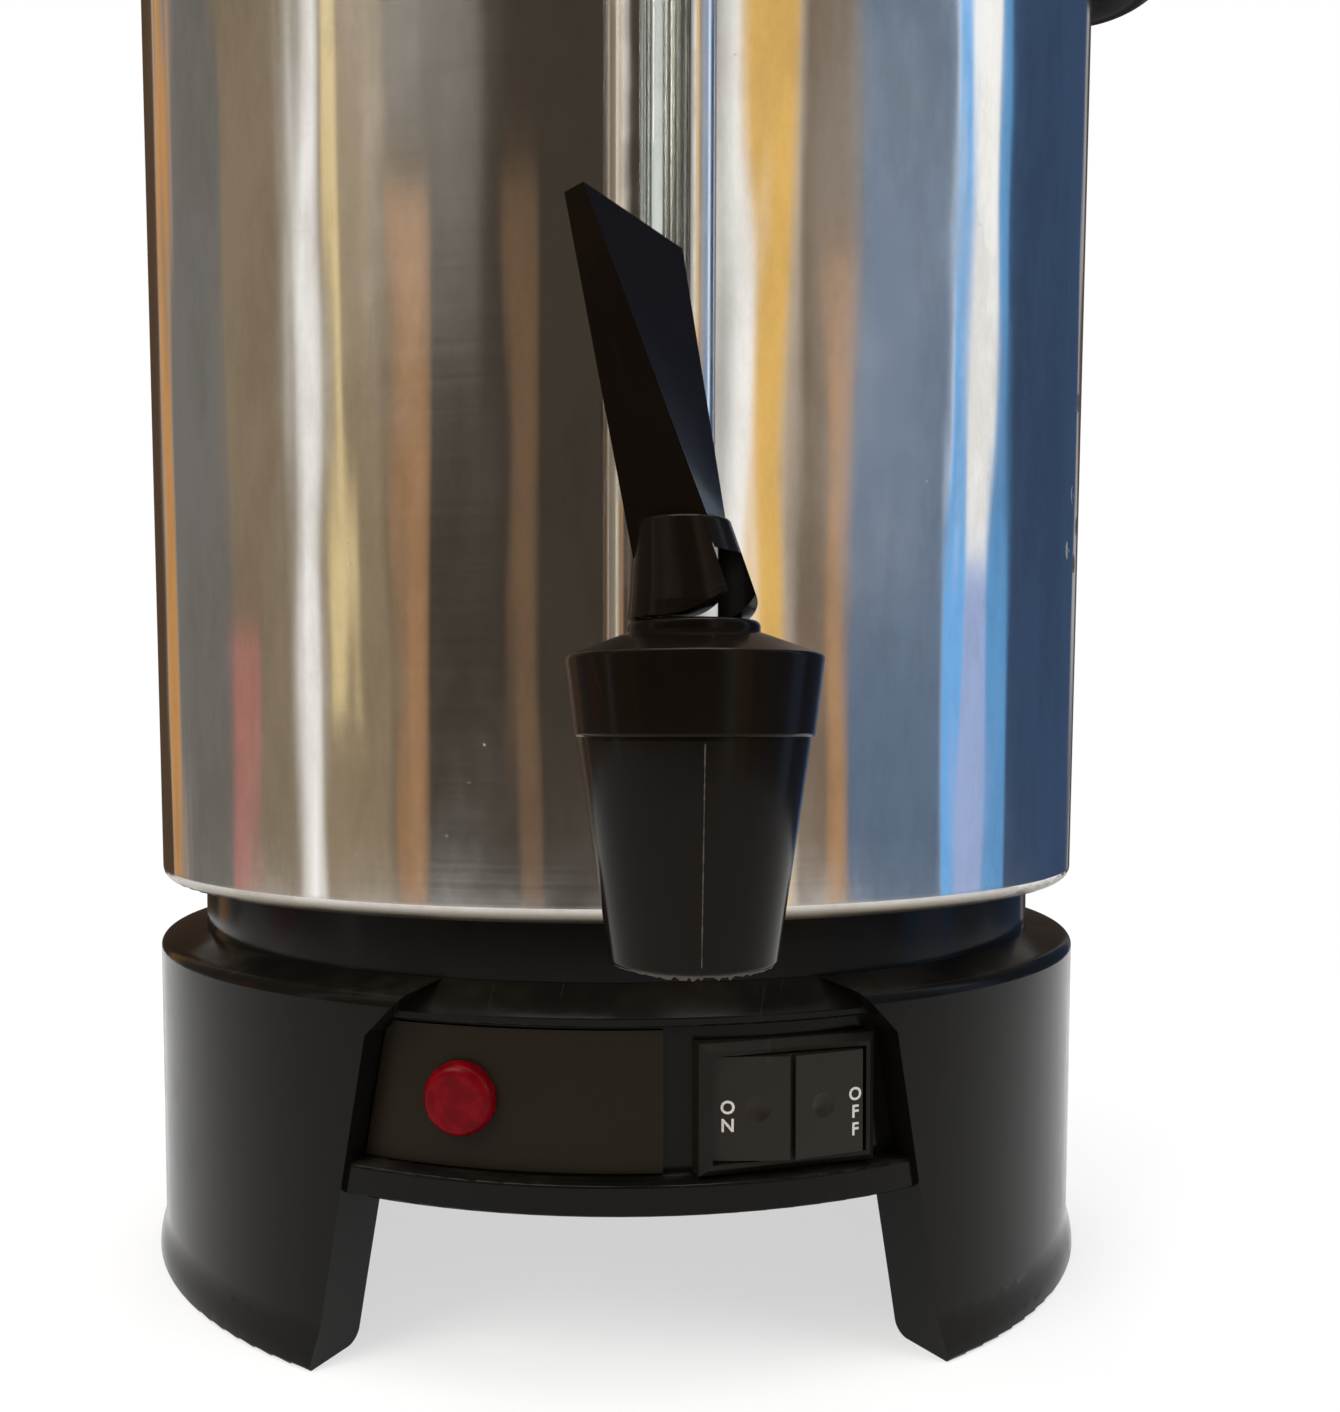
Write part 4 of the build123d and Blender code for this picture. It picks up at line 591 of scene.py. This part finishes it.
# %% [markdown]
# ## The studio
#
# Polished metal shows what stands round it. A photographer hangs plain cards round a shiny pot
# and leaves gaps between them: each card becomes a calm upright band in the metal, and each gap
# shows the pale backdrop as a bright, tall highlight. One drum painted all the way round could
# do more, but it would hide the backdrop from the metal. So these are separate curved boards,
# each in one plain colour, which only reflections can see. Their upright edges are feathered,
# as those of a cloth flag are, so that no band ends in a hard line. Where two boards overlap,
# the later one stands a little nearer and hides the earlier one.

# %% Studio cards
card_reach = 0.60
card_step = 0.004
card_top = 0.85
sides_per_card = 24
cards = {
    # first and last bearing in degrees, feathered edge, foot and top in metres, colour
    "brown_card_left": (-170, -122, 8, 0.0, card_top, (0.08, 0.05, 0.03)),
    "amber_card_left": (-128, -117, 4, 0.0, card_top, (0.55, 0.28, 0.10)),
    "grey_card_left": (-122, -88, 5, 0.0, card_top, (0.17, 0.16, 0.15)),
    "olive_card_left": (-96, -67, 5, 0.0, card_top, (0.24, 0.19, 0.13)),
    "warm_card_left": (-67, -38, 5, 0.0, card_top, (0.26, 0.20, 0.13)),
    "rose_card_low": (-96, -82, 3, 0.0, 0.17, (0.45, 0.20, 0.17)),
    "straw_strip_left": (-63, -57, 3, 0.12, card_top, (0.75, 0.60, 0.33)),
    "dark_card_front": (-52, 22, 12, 0.0, card_top, (0.05, 0.04, 0.03)),
    "amber_strip_left": (-48, -37, 5, 0.0, 0.40, (0.36, 0.20, 0.10)),
    "amber_strip_front": (-24, -15, 4, 0.0, 0.40, (0.16, 0.10, 0.06)),
    "gold_card_right": (22, 35, 4, 0.0, card_top, (0.80, 0.50, 0.15)),
    "brown_card_right": (31, 58, 5, 0.0, card_top, (0.20, 0.15, 0.11)),
    "rust_strip_right": (40, 49, 4, 0.0, 0.36, (0.42, 0.24, 0.12)),
    "steel_card_right": (44, 74, 6, 0.0, card_top, (0.11, 0.16, 0.25)),
    "blue_card_low": (70, 92, 3, 0.0, 0.21, (0.35, 0.45, 0.75)),
    "blue_edge_right": (69, 75, 2, 0.0, card_top, (0.16, 0.45, 0.90)),
    "navy_card_right": (85, 135, 3, 0.0, card_top, (0.04, 0.07, 0.14)),
    "blue_edge_far": (82, 89, 2, 0.0, card_top, (0.12, 0.33, 0.65)),
    "brown_card_back": (130, 195, 8, 0.0, card_top, (0.08, 0.06, 0.05)),
}


def board_mesh(name, first, last, foot, top, reach):
    """A curved upright board."""
    corners = []
    for side in range(sides_per_card + 1):
        angle = math.radians(first + (last - first) * side / sides_per_card)
        for z in (foot, top):
            corners.append((reach * math.sin(angle), -reach * math.cos(angle), z))
    faces = [(2 * side, 2 * side + 2, 2 * side + 3, 2 * side + 1) for side in range(sides_per_card)]
    mesh = bpy.data.meshes.new(name)
    mesh.from_pydata(corners, [], faces)
    return mesh


def card(name, first, last, feather, foot, top, colour, reach):
    """One board in a plain colour, clear at its two upright edges."""
    paint = Finish(name)
    middle = math.radians((first + last) / 2)
    facing = (math.sin(middle), -math.cos(middle), 0.0)
    level = paint.node("VectorMath", {"operation": "MULTIPLY"}, {0: paint.place(), 1: (1, 1, 0)})
    ahead = paint.node("VectorMath", {"operation": "DOT_PRODUCT"}, {0: level, 1: facing}, "Value")
    half = math.radians((last - first) / 2)
    solid = paint.ease(ahead, reach * math.cos(half), reach * math.cos(half - math.radians(feather)))
    clear = paint.node("BsdfTransparent")
    glow = paint.node("Emission", {}, {"Color": colour, "Strength": 1.0})
    mixed = paint.node("MixShader", {}, {0: solid, 1: clear, 2: glow})
    paint.node("OutputMaterial", {}, {"Surface": mixed})
    mesh = board_mesh(name, first, last, foot, top, reach)
    mesh.materials.append(paint.material)
    board = bpy.data.objects.new(name, mesh)
    bpy.context.collection.objects.link(board)
    for ray in ("camera", "diffuse", "shadow", "volume_scatter", "transmission"):
        setattr(board, "visible_" + ray, False)


for order, (name, (first, last, feather, foot, top, colour)) in enumerate(cards.items()):
    card(name, first, last, feather, foot, top, colour, card_reach - card_step * order)
print(len(cards), "cards stand round the urn")

# %% [markdown]
# ## Floor and backdrop
#
# The urn stands on a plain pale floor that fades to white further off. Stronger lamps could
# bleach the floor, but they would bleach the pot too. So the floor and the world glow white only
# for rays from the camera, off a glossy surface or through glass, and for the rays that light
# the urn they stay a plain pale grey. Close to the urn the mix keeps some of the matt floor,
# which holds its shadow.

# %% Floor
floor_grey = (0.84, 0.84, 0.84)
pure_white = (1.0, 1.0, 1.0)
white_near_urn = 0.62
fade_start = 0.20
fade_end = 0.75
half_floor = 6.0


def seen_directly(finish):
    """1 for rays from the camera, off gloss or through glass, and 0 for the rays that light."""
    kinds = ("Is Camera Ray", "Is Glossy Ray", "Is Transmission Ray")
    camera_ray, mirror_ray, glass_ray = [finish.node("LightPath", output=kind) for kind in kinds]
    return finish.node("Math", {"operation": "MINIMUM"}, {0: camera_ray + mirror_ray + glass_ray, 1: 1.0})


ground = Finish("pale floor")
matt = ground.node("BsdfDiffuse", {}, {"Color": floor_grey})
white = ground.node("Emission", {}, {"Color": pure_white, "Strength": 1.0})
from_urn = ground.node("VectorMath", {"operation": "LENGTH"}, {0: ground.place()}, "Value")
whitened = white_near_urn + (1 - white_near_urn) * ground.ease(from_urn, fade_start, fade_end)
floor_mix = ground.node("MixShader", {}, {0: seen_directly(ground) * whitened, 1: matt, 2: white})
ground.node("OutputMaterial", {}, {"Surface": floor_mix})

floor_mesh = bpy.data.meshes.new("floor")
floor_mesh.from_pydata([(-half_floor, -half_floor, 0), (half_floor, -half_floor, 0),
                        (half_floor, half_floor, 0), (-half_floor, half_floor, 0)], [], [(0, 1, 2, 3)])
floor_mesh.materials.append(ground.material)
floor = bpy.data.objects.new("floor", floor_mesh)
bpy.context.collection.objects.link(floor)
print("floor", 2 * half_floor, "m square")

# %% World
dim_colour = (1.0, 0.99, 0.97)
dim_strength = 0.55

sky = Finish("studio", bpy.data.worlds)
dim = sky.node("Background", {}, {"Color": dim_colour, "Strength": dim_strength})
bright = sky.node("Background", {}, {"Color": pure_white, "Strength": 1.0})
both = sky.node("MixShader", {}, {0: seen_directly(sky), 1: dim, 2: bright})
sky.node("OutputWorld", {}, {"Surface": both})
bpy.context.scene.world = sky.material
print("world", sky.material.name, "lights at", dim_strength)

# %% [markdown]
# ## Lamps
#
# Four wide square lamps light the urn from all round, at a plain level at which a colour renders
# about as it is written. Bare bulbs could do it too, but they leave hard shadows and burnt spots
# on gloss. The key is a little warm and the fill a little cool, so the round forms turn gently.

# %% Lamps
aim_height = 0.15


def softbox(name, azimuth, reach, height, size, power, colour=(1.0, 1.0, 1.0)):
    """A square lamp that faces the middle of the urn."""
    data = bpy.data.lights.new(name, "AREA")
    data.size = size
    data.energy = power
    data.color = colour
    lamp = bpy.data.objects.new(name, data)
    bpy.context.collection.objects.link(lamp)
    angle = math.radians(azimuth)
    lamp.location = (reach * math.sin(angle), -reach * math.cos(angle), height)
    aim = Vector((0, 0, aim_height)) - lamp.location
    lamp.rotation_euler = aim.to_track_quat("-Z", "Y").to_euler()
    lamp.visible_camera = False


softbox("key", azimuth=-48, reach=1.5, height=1.3, size=0.9, power=26, colour=(1.0, 0.95, 0.88))
softbox("fill", azimuth=62, reach=1.6, height=0.9, size=1.0, power=14, colour=(0.90, 0.95, 1.0))
softbox("top", azimuth=0, reach=0.2, height=1.9, size=1.2, power=20)
softbox("back", azimuth=180, reach=1.6, height=1.1, size=1.0, power=14)
bpy.context.scene.view_settings.view_transform = "Standard"
print(len(bpy.data.lights), "lamps")
